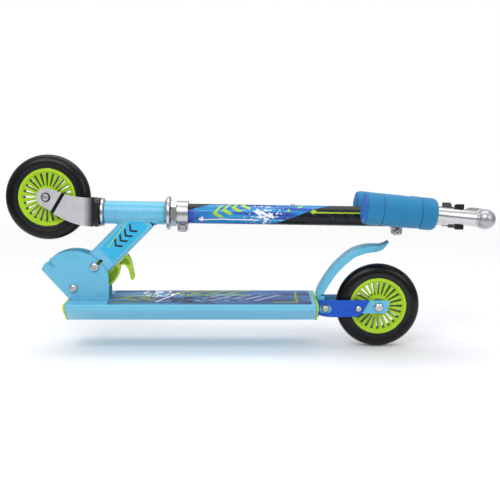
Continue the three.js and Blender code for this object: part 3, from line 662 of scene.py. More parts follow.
def bearing_mesh(side):
    """A shielded ball bearing: two races with a pressed shield set in between."""
    outer, inner, width = BEARING_R, AXLE_R + 0.2, 7
    profile = [(inner, 0), (inner, width), (6.2, width), (6.4, width - 0.7), (9.2, width - 0.7),
               (9.4, width), (outer, width), (outer, 0)]
    mesh = lathe(profile, 64, closed=True, turn=facing(side), edge=0.25)
    return moved(mesh, y=side * (HUB_HALF - 0.4 - width))


def radius_about_y(finish):
    return distance(finish.x, finish.z)


finish = Finish("tyre_rubber", srgb(8, 8, 10), 0.26)
# Painted reflection: the flat sidewall ring next to the hub is painted a lighter grey than the rest of the black
# rubber, standing in for the room it reflects.
finish.mix(radius_about_y(finish).under(47.4, 0.5), srgb(28, 28, 31))
finish.mottle(0.14, 18.0)
dust = finish.noise(2.2, 5.0, seed=4).over(0.68, 0.12) & radius_about_y(finish).over(58.2, 1.6)
finish.mix(dust, srgb(58, 57, 56))
finish.uneven(0.07, 10.0)
finish.grain(0.8, 3.0, 0.03, 0.4)
rubber = finish.set(Specular_IOR_Level=0.26).done()

finish = Finish("hub_plastic", LIME, 0.36)
# Painted shade: inside the slots and the bore, the walls deeper than the web are painted a darker green, where
# shade falls in the recesses.
slot_wall_shade = finish.y.magnitude().under(8.0, 1.5) & radius_about_y(finish).under(34.2, 0.3)
finish.mix(slot_wall_shade, srgb(98, 140, 22))
finish.mottle(0.05, 20.0).uneven(0.06, 6.0).grain(0.5, 3.0, 0.03, 0.4)
hub_plastic = finish.set(Specular_IOR_Level=0.2).done()

for wheel, at in (("rear", REAR_WHEEL), ("front", FRONT_WHEEL)):
    wheel_body = f"{wheel}_wheel"
    piece(f"{wheel}_tyre_rubber", tyre_mesh(), at, wheel_body, "tyre", f"{wheel}_tyre", look=rubber)
    piece(f"{wheel}_hub_shell", hub_mesh(), at, wheel_body, "lime_plastic", f"{wheel}_hub", look=hub_plastic)
    for side_name, side in SIDES.items():
        node = f"{wheel}_{side_name}_bearing"
        piece(f"{node}_shielded", bearing_mesh(side), at, wheel_body, "steel", node)


def axle_mesh(arm_inner, arm_outer):
    """A sleeve axle: a domed head with a round socket at each end, and a collar beside each bearing."""
    bolt = through_bolt(AXLE_R, AXLE_HEAD_R, arm_outer + 0.3, 4, 2.5)
    collars = [ring(AXLE_R - 0.1, AXLE_R + 2.4, (HUB_HALF + 0.05) * side, (arm_inner - 0.3) * side, 0.2,
                    SMALL, TO_Y) for side in SIDES.values()]
    return merged([bolt, *collars])


# -------- deck

DECK_FRONT = -443
DECK_REAR = -88
DECK_TOP = 70.4
DECK_BOTTOM = 43.4
DECK_HALF_TOP = 50
DECK_HALF_BOTTOM = 25
DECK_EDGE = 7.5
DECK_WALL = 2.5
CAP = 2.7
TAPE = (-383, -97, -45.5, 45.5)


def deck_outline(grow=0.0):
    """The deck's section. A cap grows at the sides and below but not above."""
    half = [
        (DECK_HALF_BOTTOM + 0.4 * grow, DECK_BOTTOM - grow),
        (DECK_HALF_TOP - 0.8 + grow, DECK_TOP - DECK_EDGE - 1.2 - 0.4 * grow),
        (DECK_HALF_TOP + grow, DECK_TOP - DECK_EDGE),
        (DECK_HALF_TOP + grow, DECK_TOP),
    ]
    return soften(half + [(-y, z) for y, z in reversed(half)], 1.8)


def deck_cells():
    floor, roof = DECK_BOTTOM + DECK_WALL, DECK_TOP - DECK_WALL
    rise = (DECK_TOP - DECK_EDGE - DECK_BOTTOM) / (DECK_HALF_TOP - DECK_HALF_BOTTOM)
    side = DECK_HALF_TOP - DECK_WALL - 0.2
    inner = [(1.2, floor), (21, floor), (21, roof), (1.2, roof)]
    outer = [(23.4, floor), (DECK_HALF_BOTTOM, floor + 0.4),
             (side, floor + 0.6 + rise * (side - DECK_HALF_BOTTOM)), (side, roof), (23.4, roof)]
    cells = [inner, outer]
    return [soften(c, 1.0) for c in cells] + [soften([(-y, z) for y, z in c], 1.0) for c in cells]


finish = Finish("deck_paint", SKY_BLUE, 0.3)
finish.mottle(0.04, 60.0)
scuffs(finish, srgb(190, 222, 236), seed=8)
finish.uneven(0.05, 14.0)
finish.grain(0.5, 2.0, 0.02, 0.4, (60, 1, 1))  # faint extrusion lines
deck_paint = finish.set(Coat_Weight=0.35, Coat_Roughness=0.1).done()

deck_mesh = flat(deck_outline(), DECK_FRONT + CAP + 0.3, DECK_REAR - CAP - 0.3, 0.05, TO_BEAM, deck_cells())
piece("deck_extrusion", deck_mesh, REAR, "frame", "deck_paint", "deck", look=deck_paint)
for name, x0 in (("front_end_cap", DECK_FRONT), ("rear_end_cap", DECK_REAR - CAP)):
    mesh = flat(deck_outline(0.6), x0, x0 + CAP, 0.6, TO_BEAM)
    piece(f"{name}_moulding", mesh, REAR, "frame", "lime_plastic", name)


def chevrons(along, across, start, pitch, count, lean, width, arm):
    """A row of bent bars that point towards lower values of along."""
    bent = along - across.magnitude() * lean
    row = (bent - start).math("FLOORED_MODULO", pitch)
    inside = bent.between(start, start + pitch * count, 0.3) & across.magnitude().under(arm, 0.3)
    return row.under(width, 0.5) & row.over(0.3, 0.5) & inside


def tape_finish():
    """The printed grip sheet: brushed bands, slashes, bent bars, blots, strokes and splashes over grit."""
    finish = Finish("printed_grip", srgb(74, 106, 146), 0.66)
    mix, noise, specks = finish.mix, finish.noise, finish.specks
    x, y = finish.x, finish.y
    mix(noise(9.0, 4.0, (9, 1, 1), 1).over(0.52, 0.08), srgb(70, 78, 122))
    mix(noise(7.0, 4.0, (14, 1, 1), 6).over(0.57, 0.05), srgb(86, 146, 188))
    wander = (noise(26.0, 2.0, (3, 1, 1), 2) - 0.5) * 26
    mix((y + wander).between(4, 22, 2) & x.between(-366, -196, 10), srgb(74, 138, 184))
    lavender = srgb(146, 158, 196)
    slanted = x - y * 0.9
    slashes = (slanted + 240).math("FLOORED_MODULO", 21.0).under(7.5, 0.8) & slanted.between(-240, -135, 0.8)
    ragged = noise(12.0, 4.0, (3, 1, 1), 31).over(0.42, 0.04)
    mix(slashes & ragged & y.between(-27, 13, 3), lavender)
    blots = noise(11.0, 5.0, (1.6, 1, 1), 9).over(0.53, 0.03)
    mix(blots & x.between(-300, -236, 12) & y.between(-40, 22, 8), srgb(52, 54, 62))
    mix(chevrons(x, y - 24, -300, 26, 4, 1.5, 11, 20), PRINT_LIME)
    mix(chevrons(x, y + 8, -368, 24, 2, 1.2, 9, 17), PRINT_LIME)
    strokes = noise(4.5, 3.0, (16, 1, 1), 12).over(0.6, 0.02)
    mix(strokes & x.between(-380, -316, 6) & y.between(-42, 34, 4), PRINT_LIME)
    white = noise(6.0, 5.0, (1, 1.4, 1), 21, 0.62).over(0.53, 0.015)
    mix(white & distance(x + 316, y - 22, 0.6).under(22, 6), WHITE)
    mix(specks(6.5, 3).under(0.16, 0.05) & distance(x + 316, y - 18, 0.6).under(38, 12), WHITE)
    drip = (x + 300 - y * 0.45).magnitude().under(1.3, 0.5) & y.between(-34, 24)
    mix(drip, WHITE)
    upright = x.between(-119, -115.5, 0.4) & y.between(-38, 30)
    foot = y.between(-38, -33, 0.4) & x.between(-150, -116)
    mix(upright | foot, PRINT_LIME)
    finish.mottle(0.10, 1.1).uneven(0.08, 2.0).grain(0.7, 2.0, 0.14, 0.7)
    return finish.set(Specular_IOR_Level=0.3).done()


tape_mesh = flat(rounded_box(*TAPE, 5), DECK_TOP + 0.05, DECK_TOP + 0.85, 0.2, LEVEL)
piece("printed_grip_sheet", tape_mesh, REAR, "frame", "grip_sheet", "grip_tape", look=tape_finish())

# -------- folding bracket

BRACKET_INNER = 13.2
BRACKET_PLATE = 3
BRACKET_R = 53.5
LATCH_R = 43.4
LOCK_PIN_R = 2.2
FOLD_BOLT_R = 4


def strut_angle():
    """The angle of the folded strut above the horizontal, seen from the left, towards the rear."""
    along = joint_axis("latch_slide")
    return degrees(atan2(along.z, along.x))


def bracket_outline():
    bottom = DECK_TOP + 0.1 - PIVOT.z / MM
    rear = 50
    start = degrees(acos(rear / BRACKET_R))
    end = degrees(atan2(35, -40.4))
    points = [(-6.2, bottom), (rear, bottom)]
    points += arc(0, 0, BRACKET_R, start, end, 48)
    return points + [(-45.1, 27.5)]


def bracket_mesh(side):
    plate = flat(soften(bracket_outline(), 1.2), *span(-BRACKET_INNER, -BRACKET_INNER - BRACKET_PLATE, side),
                 0.5, holes=[round_hole(0, 0, FOLD_BOLT_R + 0.2)])
    notches = []
    for turn in (strut_angle(), strut_angle() + JOINTS["fold"]["range_deg"][1]):
        notch = block(LATCH_R - LOCK_PIN_R - 0.4, BRACKET_R + 5, -20, 20, -LOCK_PIN_R - 0.4, LOCK_PIN_R + 0.4)
        notch.transform(Matrix.Rotation(-radians(turn), 4, "Y"))
        notches.append(notch)
    return carve(plate, notches)


def weld_mesh(start, end, r, seed, ripple=0.18):
    """A weld bead between two points, with the ripples of its puddles."""
    a, b = Vector(start), Vector(end)
    count = max(12, int((b - a).length * 1.6))
    drawn = random.Random(seed)
    waver = [drawn.uniform(-0.12, 0.12) for _ in range(count + 1)]
    points = [a.lerp(b, i / count) + Vector((0, 0, waver[i] * r)) for i in range(count + 1)]

    def radius(share):
        ends = min(1.0, 12 * share + 0.4, 12 * (1 - share) + 0.4)
        return r * ends * (1 + ripple * sin(share * count * 1.25))

    return sweep(points, radius)


for side_name, side in SIDES.items():
    node = f"bracket_{side_name}_plate"
    plate = bracket_mesh(side)
    base_z = DECK_TOP + 0.9 - PIVOT.z / MM
    bead_y = side * (BRACKET_INNER + BRACKET_PLATE + 0.5)
    bead = weld_mesh((-3, bead_y, base_z), (49.5, bead_y, base_z), 1.9, 31 + side, 0.3)
    piece(f"{node}_pressed", plate, FOLD, "frame", "blue_paint", node)
    piece(f"bracket_{side_name}_weld", bead, FOLD, "frame", "blue_paint")

outer = BRACKET_INNER + BRACKET_PLATE + 0.3
pivot_bolt = through_bolt(FOLD_BOLT_R, 5.9, outer, 3, 2.4)
piece("fold_pivot_screw", pivot_bolt, FOLD, "frame", "steel", "fold_pivot_bolt")

# -------- rear yoke and brake

YOKE_INNER = 15
YOKE_OUTER = 18
YOKE_COVER = 2.4
BRAKE_PIVOT = (-76.1, 58)
COVER_SCREW = (-29.2, 58.4)
BRAKE_HALF = 14.5
BRAKE_SHEET = 2


def yoke_meshes():
    root = DECK_REAR + 0.3
    arm = soften([(root, 50.6), (11.5, 50.6), (16.3, 69.4), (root, 69.4)], 2.5)
    holes = [round_hole(0, WHEEL_R, AXLE_R + 0.1), round_hole(*BRAKE_PIVOT, 3.3),
             round_hole(*COVER_SCREW, 2.1)]
    arms = [flat(arm, *span(-YOKE_INNER, -YOKE_OUTER, s), 0.5, holes=holes) for s in SIDES.values()]
    back = flat(rounded_box(-YOKE_OUTER, YOKE_OUTER, 46, 60, 1.5), root, root + 3, 0.4, TO_BEAM)
    return carve(arms[0], [arms[1], back], "UNION")


def cover_outline():
    start, front = DECK_REAR + 1, (-34, 46.4)
    points = [(start, 50)] + curve((start, 50), (-80, 45.8), (-62, 45.8)) + [front]
    points += curve(front, (-26, 46.8), (-23.5, 52)) + [(-13, 70.6), (start, 70.6)]
    return soften(points, 0.8)


def cover_mesh(side):
    low, high = span(-YOKE_OUTER - 0.3, -YOKE_OUTER - 0.3 - YOKE_COVER, side)
    x, z = BRAKE_PIVOT
    window = rounded_box(x - 8.5, x + 9, z - 6.6, z + 5.6, 5.4)
    return flat(cover_outline(), low, high, 0.7, holes=[window, round_hole(*COVER_SCREW, 2.1)])


piece("rear_yoke_pressed", yoke_meshes(), REAR, "frame", "blue_paint", "rear_yoke")
for side_name, side in SIDES.items():
    cover = f"{side_name}_yoke_cover"
    piece(f"{cover}_moulding", cover_mesh(side), REAR, "frame", "royal_plastic", cover)
    seat = YOKE_OUTER + 0.3 + YOKE_COVER + 0.1
    screw = bolt_y(2, 4.4, seat, 2.8, side, YOKE_INNER - 0.8, 1.7)
    piece(f"{side_name}_cover_socket_screw", moved(screw, COVER_SCREW[0], 0, COVER_SCREW[1]), REAR, "frame",
          "steel", f"{side_name}_cover_screw")

brake_bolt = through_bolt(3, 5, YOKE_OUTER + 0.3, 2.6, 2.0)
piece("brake_pivot_screw", brake_bolt, BRAKE_PIN, "frame", "steel", "brake_pivot_bolt")
piece("rear_axle_bolt", axle_mesh(YOKE_INNER, YOKE_OUTER), REAR_WHEEL, "frame", "chrome", "rear_axle")


def brake_back():
    """The line of the brake's back in X and Z, from its pivot end to its tip."""
    anchors = [(-86.6, 66), (-88, 71.6), (-89.2, 78), (-82.3, 93), (-65.6, 117.5), (-43.4, 138),
               (-28.2, 145.2), (-13, 148.4), (0, 148.6), (7, 150.8), (12.6, 154)]
    padded = [anchors[0], *anchors, anchors[-1]]
    line = []
    for a, b, c, d in zip(padded, padded[1:], padded[2:], padded[3:]):
        for i in range(6):
            t = i / 6
            line.append(tuple(
                0.5 * (2 * q + (r - p) * t + (2 * p - 5 * q + 4 * r - s) * t * t
                       + (3 * q - p - 3 * r + s) * t ** 3)
                for p, q, r, s in zip(a, b, c, d)
            ))
    return [Vector(p) for p in line + [anchors[-1]]]


def brake_half_width(x):
    """Half the width of the brake in plan, which narrows in towards its tip."""
    if x < -30:
        return BRAKE_HALF
    share = min(1.0, (x + 30) / 42.6)
    return BRAKE_HALF - (BRAKE_HALF - 6.5) * share ** 1.3


def brake_mesh():
    """A bent channel with a folded shoulder along each side: its section is set out along the back."""
    back = brake_back()
    count = len(back)
    bm = bmesh.new()
    rings = []
    for i, point in enumerate(back):
        along = (back[min(i + 1, count - 1)] - back[max(i - 1, 0)]).normalized()
        inward = Vector((along.y, -along.x))
        share = i / (count - 1)
        depth = 10.8 - 8.8 * max(0.0, (share - 0.75) / 0.25)
        half = brake_half_width(point.x)
        fold = 1 - 0.55 * share
        outer = [(-half, depth), (-half, 4.6 * fold), (-half + 0.5, 3.0 * fold), (-half + 1.6, 1.5 * fold),
                 (-half + 3.4, 0.5 * fold), (-half * 0.5, 0.12), (0, 0)]
        outer += [(-y, d) for y, d in reversed(outer[:-1])]
        inner = [(y * (1 - BRAKE_SHEET / half), d + (0 if abs(y) == half and d == depth else BRAKE_SHEET))
                 for y, d in reversed(outer)]
        section = []
        for y, d in outer + inner:
            d = min(d, depth)
            where = point + inward * d
            section.append(bm.verts.new((where.x, y, where.y)))
        rings.append(section)
    size = len(rings[0])
    for low, high in zip(rings, rings[1:]):
        bridge(bm, low, high)
    for end in (rings[0], rings[-1]):
        for k in range(size // 2 - 1):
            bm.faces.new((end[k], end[k + 1], end[size - 2 - k], end[size - 1 - k]))
    bmesh.ops.remove_doubles(bm, verts=bm.verts[:], dist=1e-3)
    sheet = to_mesh(bm, sharp=50)
    x, z = BRAKE_PIVOT
    tongue = flat(soften([(x - 6.7, z), (x + 6.6, z - 1), (x - 1.6, z + 14), (x - 2.4, z + 20),
                          (-87.4, 78), (-86.6, 69)], 1.0), -11, 11, 0.5)
    barrel = rod_y(6.8, -11, 11, x, z)
    return carve(carve(sheet, [tongue, barrel], "UNION", 50), [rod_y(3.3, -20, 20, x, z, 0.02)], sharp=50)


piece("fender_brake", brake_mesh(), REAR, "brake", "blue_paint", "brake")

# -------- strut, head tube and latch

STRUT_HALF_HEIGHT = 19
STRUT_HALF_WIDTH = 12.5
STRUT_LENGTH = 150
HEAD_R = 16.25
HEAD_BOTTOM = 43.8
HEAD_TOP = 128.4
LATCH_TRAVEL = JOINTS["latch_slide"]["range_m"][1] / MM
TRIGGER_HALF = 6.4


def strut_mesh():
    section = rounded_box(-STRUT_HALF_WIDTH, STRUT_HALF_WIDTH, -STRUT_HALF_HEIGHT, STRUT_HALF_HEIGHT, 4.5)
    bore = rounded_box(-10.5, 10.5, -17, 17, 3.2)
    outer = flat(section, 1, STRUT_LENGTH - 7, 0.3, TO_BEAM)
    nose = rod_y(15.4, -STRUT_HALF_WIDTH, STRUT_HALF_WIDTH, 0, 0, 1.2, 72)
    body = carve(outer, [nose], "UNION")
    hollow = flat(bore, 8, STRUT_LENGTH + 4, 0, TO_BEAM)
    slot_half = LOCK_PIN_R + 0.25
    slot = (arc(LATCH_R, 0, slot_half, 90, 270, 16)
            + arc(LATCH_R + LATCH_TRAVEL, 0, slot_half, -90, 90, 16))
    opening = block(34.5, 76, -7.2, 7.2, -STRUT_HALF_HEIGHT - 2, -STRUT_HALF_HEIGHT + 4)
    head = cylinder(HEAD_R + 0.15, -300, 300)
    head.transform(STRUT_FROM_NECK)
    return carve(body, [hollow, rod_y(4.3, -20, 20, 0, 0, 0.02), flat(slot, -20, 20, 0), opening, head])


def in_millimetres(matrix):
    result = matrix.copy()
    result.translation = result.translation / MM
    return result


STRUT_FROM_NECK = in_millimetres(STRUT.inverted() @ NECK)


def strut_finish():
    """Blue paint with one printed sticker: a row of bent bars, a thin line and a few specks."""
    finish = Finish("strut_paint", SKY_BLUE, 0.27)
    mix, specks = finish.mix, finish.specks
    x, z = finish.x, finish.z
    on_side = finish.y.magnitude().over(12.2, 0.2)
    panel = x.between(66, 138, 0.3) & z.magnitude().under(13.6, 0.3) & on_side
    mix(panel, srgb(44, 178, 222))
    mix(chevrons(x, z, 84, 10, 4, 0.8, 4.0, 7.5) & panel, INK)
    mix((z - (x - 102) * 0.12 - 9.6).magnitude().under(0.6, 0.3) & x.between(76, 128) & panel, LIME)
    mix(specks(7.0, 2).under(0.10, 0.04) & panel & x.between(80, 134), INK)
    finish.mottle(0.05, 40.0).uneven(0.05, 12.0).grain(1.6, 2.0, 0.02, 0.35)
    finish.relief(panel, 0.08, 0.6)
    return finish.set(Coat_Weight=0.35, Coat_Roughness=0.08).done()


piece("strut_tube", strut_mesh(), STRUT, "neck", "blue_paint", "strut", look=strut_finish())


def cope_weld():
    """The weld round the joint of the strut and the head tube, on the head tube's surface."""
    count = 150
    drawn = random.Random(77)
    points = []
    for i in range(count + 1):
        a = 2 * pi * i / count
        y = (STRUT_HALF_WIDTH + 0.1) * max(-1, min(1, 1.35 * cos(a)))
        z = (STRUT_HALF_HEIGHT + 0.3) * max(-1, min(1, 1.35 * sin(a)))
        x_far = STRUT_LENGTH - 40
        start = STRUT_FROM_NECK.inverted() @ Vector((x_far, y, z))
        along = STRUT_FROM_NECK.inverted().to_3x3() @ Vector((1, 0, 0))
        qa = along.x ** 2 + along.y ** 2
        qb = 2 * (start.x * along.x + start.y * along.y)
        qc = start.x ** 2 + start.y ** 2 - (HEAD_R + 0.2) ** 2
        root = sqrt(max(0.0, qb * qb - 4 * qa * qc))
        t = (-qb - root) / (2 * qa)
        points.append(start + along * t + Vector((0, 0, drawn.uniform(-0.1, 0.1))))
    return sweep(points[:-1], lambda share: 1.15 * (1 + 0.14 * sin(share * count * 1.1)), 12)


head_mesh = ring(14.3, HEAD_R, HEAD_BOTTOM, HEAD_TOP, 0.5)
piece("head_tube_welded", head_mesh, NECK, "neck", "blue_paint", "head_tube")
piece("strut_weld", cope_weld(), NECK, "neck", "blue_paint")

bore = 11.8
lower_cup = [(bore, 37.5), (18, 37.5), (20, 39), (20, 41.8), (17.5, 43.5), (bore, 43.5)]
base = HEAD_TOP + 0.3
upper_cup = [(bore, base), (17.8, base), (21.4, base + 1.8), (23.9, base + 4), (23.9, base + 6.4),
             (22.6, base + 7.6), (bore, base + 7.6)]
for node, make, cup, edge in (("lower_headset_cup", "turned", lower_cup, 0.6),
                              ("upper_headset_cup", "spun", upper_cup, 1.0)):
    piece(f"{node}_{make}", lathe(cup, closed=True, edge=edge), NECK, "neck", "chrome", node)

for side_name, side in SIDES.items():
    head = bolt_y(LOCK_PIN_R, 6.5, BRACKET_INNER + BRACKET_PLATE + 0.3, 3.6, side, BRACKET_INNER + 0.5, 2.4)
    piece(f"{side_name}_lock_screw_head", moved(head, LATCH_R), STRUT, "latch", "chrome",
          f"{side_name}_lock_pin_head", look=satin_chrome)


def trigger_outline():
    skin = -STRUT_HALF_HEIGHT - 0.8
    steps = [
        ((36.6, 6.5),), ((36.6, skin),), ((30.5, -24), (32.5, -31)), ((38, -36), (47, -34.5)),
        ((58, -33), (66, -26.2)), ((70, -23), (73, -28)), ((74.6, -32), (71.5, -38)), ((64.6, -49),),
        ((66, -53.5), (70.5, -50)), ((81.5, -34),), ((86.5, -26), (87, skin)), ((61, skin),), ((51, 6.5),),
    ]
    points = []
    for step in steps:
        if len(step) == 1:
            points.append(step[0])
        else:
            points += curve(points[-1], step[0], step[1])
    return points


pin_hole = round_hole(LATCH_R, 0, LOCK_PIN_R + 0.1)
trigger_mesh = flat(trigger_outline(), -TRIGGER_HALF, TRIGGER_HALF, 1.1, holes=[pin_hole])
body_pocket = soften([(39, -22), (63, -22), (64, -25), (56, -30), (46, -32), (38, -31), (36.5, -28)], 2)
arm_pocket = soften([(69, -21.6), (82, -21.6), (83, -26), (79.5, -33), (76.5, -31), (75, -26),
                     (71, -23.6)], 1.2)
dents = [flat(outline, *span(4.4, 8, side), 0)
         for side in SIDES.values() for outline in (body_pocket, arm_pocket)]
finish = Finish("trigger_plastic", LIME, 0.4)
# Painted shade: the pocket floors in each side, and the side walls at that depth, are painted a darker green,
# where shade falls in the recesses.
pocket_floor_shade = finish.y.magnitude().between(4.0, 5.2, 0.3) & finish.z.over(-34, 0.5)
finish.mix(pocket_floor_shade, srgb(112, 156, 26))
finish.mottle(0.06, 12.0).uneven(0.07, 8.0).grain(0.5, 3.0, 0.03, 0.4)
piece("latch_trigger", carve(trigger_mesh, dents), STRUT, "latch", "lime_plastic", "trigger",
      look=finish.set(Specular_IOR_Level=0.32).done())

# -------- fork and column

FRONT_AXLE = STEER.inverted() @ joint_place("front_wheel_spin") / MM
OUTER_TUBE_R = 14
LOWER_CLAMP = (145.4, 161.6)
UPPER_CLAMP = (449, 465)
CLAMP_BOLT_X = 21
COLUMN_TOP = 460
BUTTON_Z = 309.3
BUTTON = Matrix.Translation((0, 0, BUTTON_Z)) @ Matrix.Rotation(-pi / 2, 4, "Y")
CROWN_BOTTOM = 30.5
CROWN_TOP = 37.2
FORK_INNER = 14.9
FORK_OUTER = 17.9
FORK_STEP = 3.5  # how far each arm steps outwards above the wheel's axle
ARM_LEAN = 30  # degrees that the fork arms lean back from the column


def fork_arm_mesh(side):
    x, z = FRONT_AXLE.x, FRONT_AXLE.z
    top = CROWN_BOTTOM - 0.3
    points = [(-20.4, top)] + curve((-20.4, top), (-20.6, 2), (-26.5, -14)) + [(x - 12.4, z + 4.2)]
    points += arc(x, z, 13.1, 161, 338, 28) + [(-0.4, -29.5)]
    points += curve((-0.4, -29.5), (19.5, 0), (19.6, top), 12)
    blank = flat(points, *span(-14, -22.5, side), 0)
    inner, outer, sheet = FORK_INNER, FORK_INNER + FORK_STEP, 3
    strip = [(inner, -20), (inner, 16.5), (outer, 21.5), (outer, 120), (outer + sheet, 120),
             (outer + sheet, 20.5), (inner + sheet, 15.5), (inner + sheet, -20)]
    stepped = flat(soften([(y * side, h) for y, h in strip], 2.2), -60, 60, 0, TO_BEAM)
    stepped.transform(Matrix.Translation((x, 0, z)) @ Matrix.Rotation(radians(ARM_LEAN), 4, "Y"))
    arm = carve(blank, [stepped], "INTERSECT")
    return carve(arm, [rod_y(AXLE_R + 0.1, -30, 30, x, z, 0.02)])


def fork_finish():
    """Bright chrome with a painted dark reflection where the arm steps outwards, and painted shade under the
    crown.
    """
    finish = Finish("fork_chrome", (0.86, 0.86, 0.89), 0.34, 0.85)
    lean = radians(ARM_LEAN)
    along = (finish.x - FRONT_AXLE.x) * sin(lean) + (finish.z - FRONT_AXLE.z) * cos(lean)
    # Painted reflection: a near-black band where the arm steps outwards, for the dark surroundings that the bend
    # in the chrome mirrors.
    finish.mix(along.between(15.6, 21.2, 0.8), (0.012, 0.012, 0.014))
    # Painted shade: the arm grows darker towards its top, under the crown.
    finish.mix(finish.z.over(22, 12), (0.05, 0.05, 0.055))
    finish.mottle(0.05, 14.0)
    finish.uneven(0.05, 4.0)
    return finish.grain(6.0, 2.0, 0.05, 0.4).done()


fork_chrome = fork_finish()

for side_name, side in SIDES.items():
    arm = piece(f"fork_{side_name}_blade", fork_arm_mesh(side), STEER, "steering", "chrome",
                f"fork_{side_name}_arm", look=fork_chrome)
    edge = arm.modifiers.new("edge", "BEVEL")
    edge.width = 0.5 * MM
    edge.segments = 2
    edge.angle_limit = radians(40)


def crown_mesh():
    plate = flat(rounded_box(-20, 20, -22, 22, 7), CROWN_BOTTOM, CROWN_TOP, 1.0, LEVEL)
    steerer = ring(9, 10.95, CROWN_TOP - 2, LOWER_CLAMP[1] - 3, 0.3, 64)
    return carve(plate, [steerer], "UNION")


def clamp_mesh(span, outer_r, slit_half=1.2):
    low, high = span
    body = cylinder(outer_r, low, high, 1.0, 72)
    lugs = flat(rounded_box(low + 1, high - 1, -CLAMP_BOLT_X - 4.8, -OUTER_TUBE_R, 3.4), -7.5, 7.5, 0.8,
                Matrix(((0, -1, 0, 0), (0, 0, 1, 0), (1, 0, 0, 0), (0, 0, 0, 1))))
    middle = (low + high) / 2
    joined = carve(body, [lugs], "UNION")
    cutters = [cylinder(OUTER_TUBE_R + 0.2, low - 1, high + 1),
               block(0, CLAMP_BOLT_X + 6, -slit_half, slit_half, low - 1, high + 1),
               rod_y(2.7, -20, 20, CLAMP_BOLT_X, middle, 0.02)]
    return carve(joined, cutters)


def nut_mesh():
    """A thin hexagon nut with its corners turned off."""
    low, high = HEAD_TOP + 8.6, LOWER_CLAMP[0] - 0.3
    corner = 16 / cos(pi / 6)
    hexagon = [(corner * cos(radians(60 * i)), corner * sin(radians(60 * i)))
               for i in range(6)]
    nut = flat(hexagon, low, high, 0.3, LEVEL, [arc(0, 0, 11.1, 0, 355, 71)])
    turned = lathe([(0, low - 1), (15.6, low - 1), (corner + 0.8, low + 2), (corner + 0.8, high - 2),
                    (15.6, high + 1), (0, high + 1)])
    return carve(nut, [turned], "INTERSECT")


def clamp_bolt_mesh(span):
    middle = (span[0] + span[1]) / 2
    ends = [bolt_y(2.5, 4.4, 7.8, 3, side, 0.0, 1.9 if side < 0 else 0) for side in SIDES.values()]
    return moved(merged(ends), CLAMP_BOLT_X, 0, middle)


def outer_tube_mesh():
    tube = ring(12.2, OUTER_TUBE_R, LOWER_CLAMP[0], COLUMN_TOP, 0.3)
    hole = cylinder(2.9, 0, 30, sides=SMALL, turn=BUTTON)
    return carve(tube, [hole])


def column_finish():
    """Black paint under a printed wrap: brushed blues, bent bars, splashes and two thin lines."""
    finish = Finish("column_print", srgb(16, 16, 18), 0.32)
    mix, noise, specks = finish.mix, finish.noise, finish.specks
    angle = (-finish.x).math("ARCTAN2", -finish.y)  # 0 faces left, and rises towards the front
    v = angle * OUTER_TUBE_R  # millimetres round the tube
    u = finish.z - LOWER_CLAMP[1]  # millimetres up the column
    lime = srgb(164, 202, 44)
    ripple = (noise(20.0, 3.0, (1, 1, 6), 3) - 0.5) * 7
    top_edge = u.math("MINIMUM", 60.0) * 0.34 + 5 + ripple
    low_edge = (u - 100).math("MAXIMUM", 0.0) * 0.42 - 23 + ripple * 0.6
    print_area = v.under(top_edge, 0.6) & v.over(low_edge, 0.8)
    mix(print_area, srgb(46, 76, 170))
    brush = noise(3.6, 4.0, (1, 1, 22), 7)
    mix(print_area & brush.over(0.49, 0.04) & u.over(8, 4), CYAN)
    mix(print_area & brush.over(0.66, 0.03), srgb(66, 168, 212))
    mix(print_area & brush.under(0.36, 0.04), srgb(36, 54, 132))
    climb = v - 0.9 - (u - 34) * 0.346
    holes = noise(1.5, 3.0, seed=9).over(0.33, 0.03)
    mix(chevrons(u, climb, 34, 13, 4, 1.05, 6.0, 10) & holes, lime)
    line_v = v + 7.5 - (noise(9.0, 3.0, (1, 1, 3), 14) - 0.5) * 3.0
    mix(line_v.magnitude().under(0.9, 0.5) & u.between(15, 100, 2), WHITE)
    blob = distance(u - 19, v + 7.5)
    mix(blob.under((noise(2.5, 3.0, seed=4) - 0.5) * 9 + 3.0, 0.4), WHITE)
    splash = distance((u - 107) * 0.55, v)
    spray = noise(4.6, 6.0, (1, 1, 1.7), 17, 0.66)
    mix(spray.over(splash * 0.0095 + 0.465, 0.012) & u.between(77, 134, 3), WHITE)
    mix(specks(3.6, 5).under(0.2, 0.05) & splash.between(9, 18, 4), WHITE)
    for mark_u, mark_v in ((141, 7), (155, 13), (159, 14.5)):
        place = distance(u - mark_u, v - mark_v, 0.4)
        mix(place.under((noise(2.2, 3.0, seed=mark_u) - 0.5) * 6 + 1.6, 0.4), lime)
    start = distance(u - 176, v - 6, 0.5)
    mix(start.under((noise(2.0, 3.0, seed=6) - 0.5) * 8 + 2.8, 0.4), lime)
    thin = (v - 4.7 - (noise(5.0, 2.0, seed=12) - 0.5) * 1.2).magnitude()
    mix(thin.under(0.95, 0.4) & u.between(176, 286, 2), lime)
    on_black = specks(4.4, 9).under(0.15, 0.05) & u.between(176, 286, 20)
    mix(on_black & (v - 2).magnitude().under(8, 3), VIOLET)
    finish.mottle(0.06, 30.0)
    scuffs(finish, srgb(120, 124, 130), 0.66, 9.0, 6)
    finish.uneven(0.05, 10.0)
    finish.grain(1.6, 2.0, 0.015, 0.3)
    return finish.set(Coat_Weight=0.1, Coat_Roughness=0.15, Specular_IOR_Level=0.25).done()


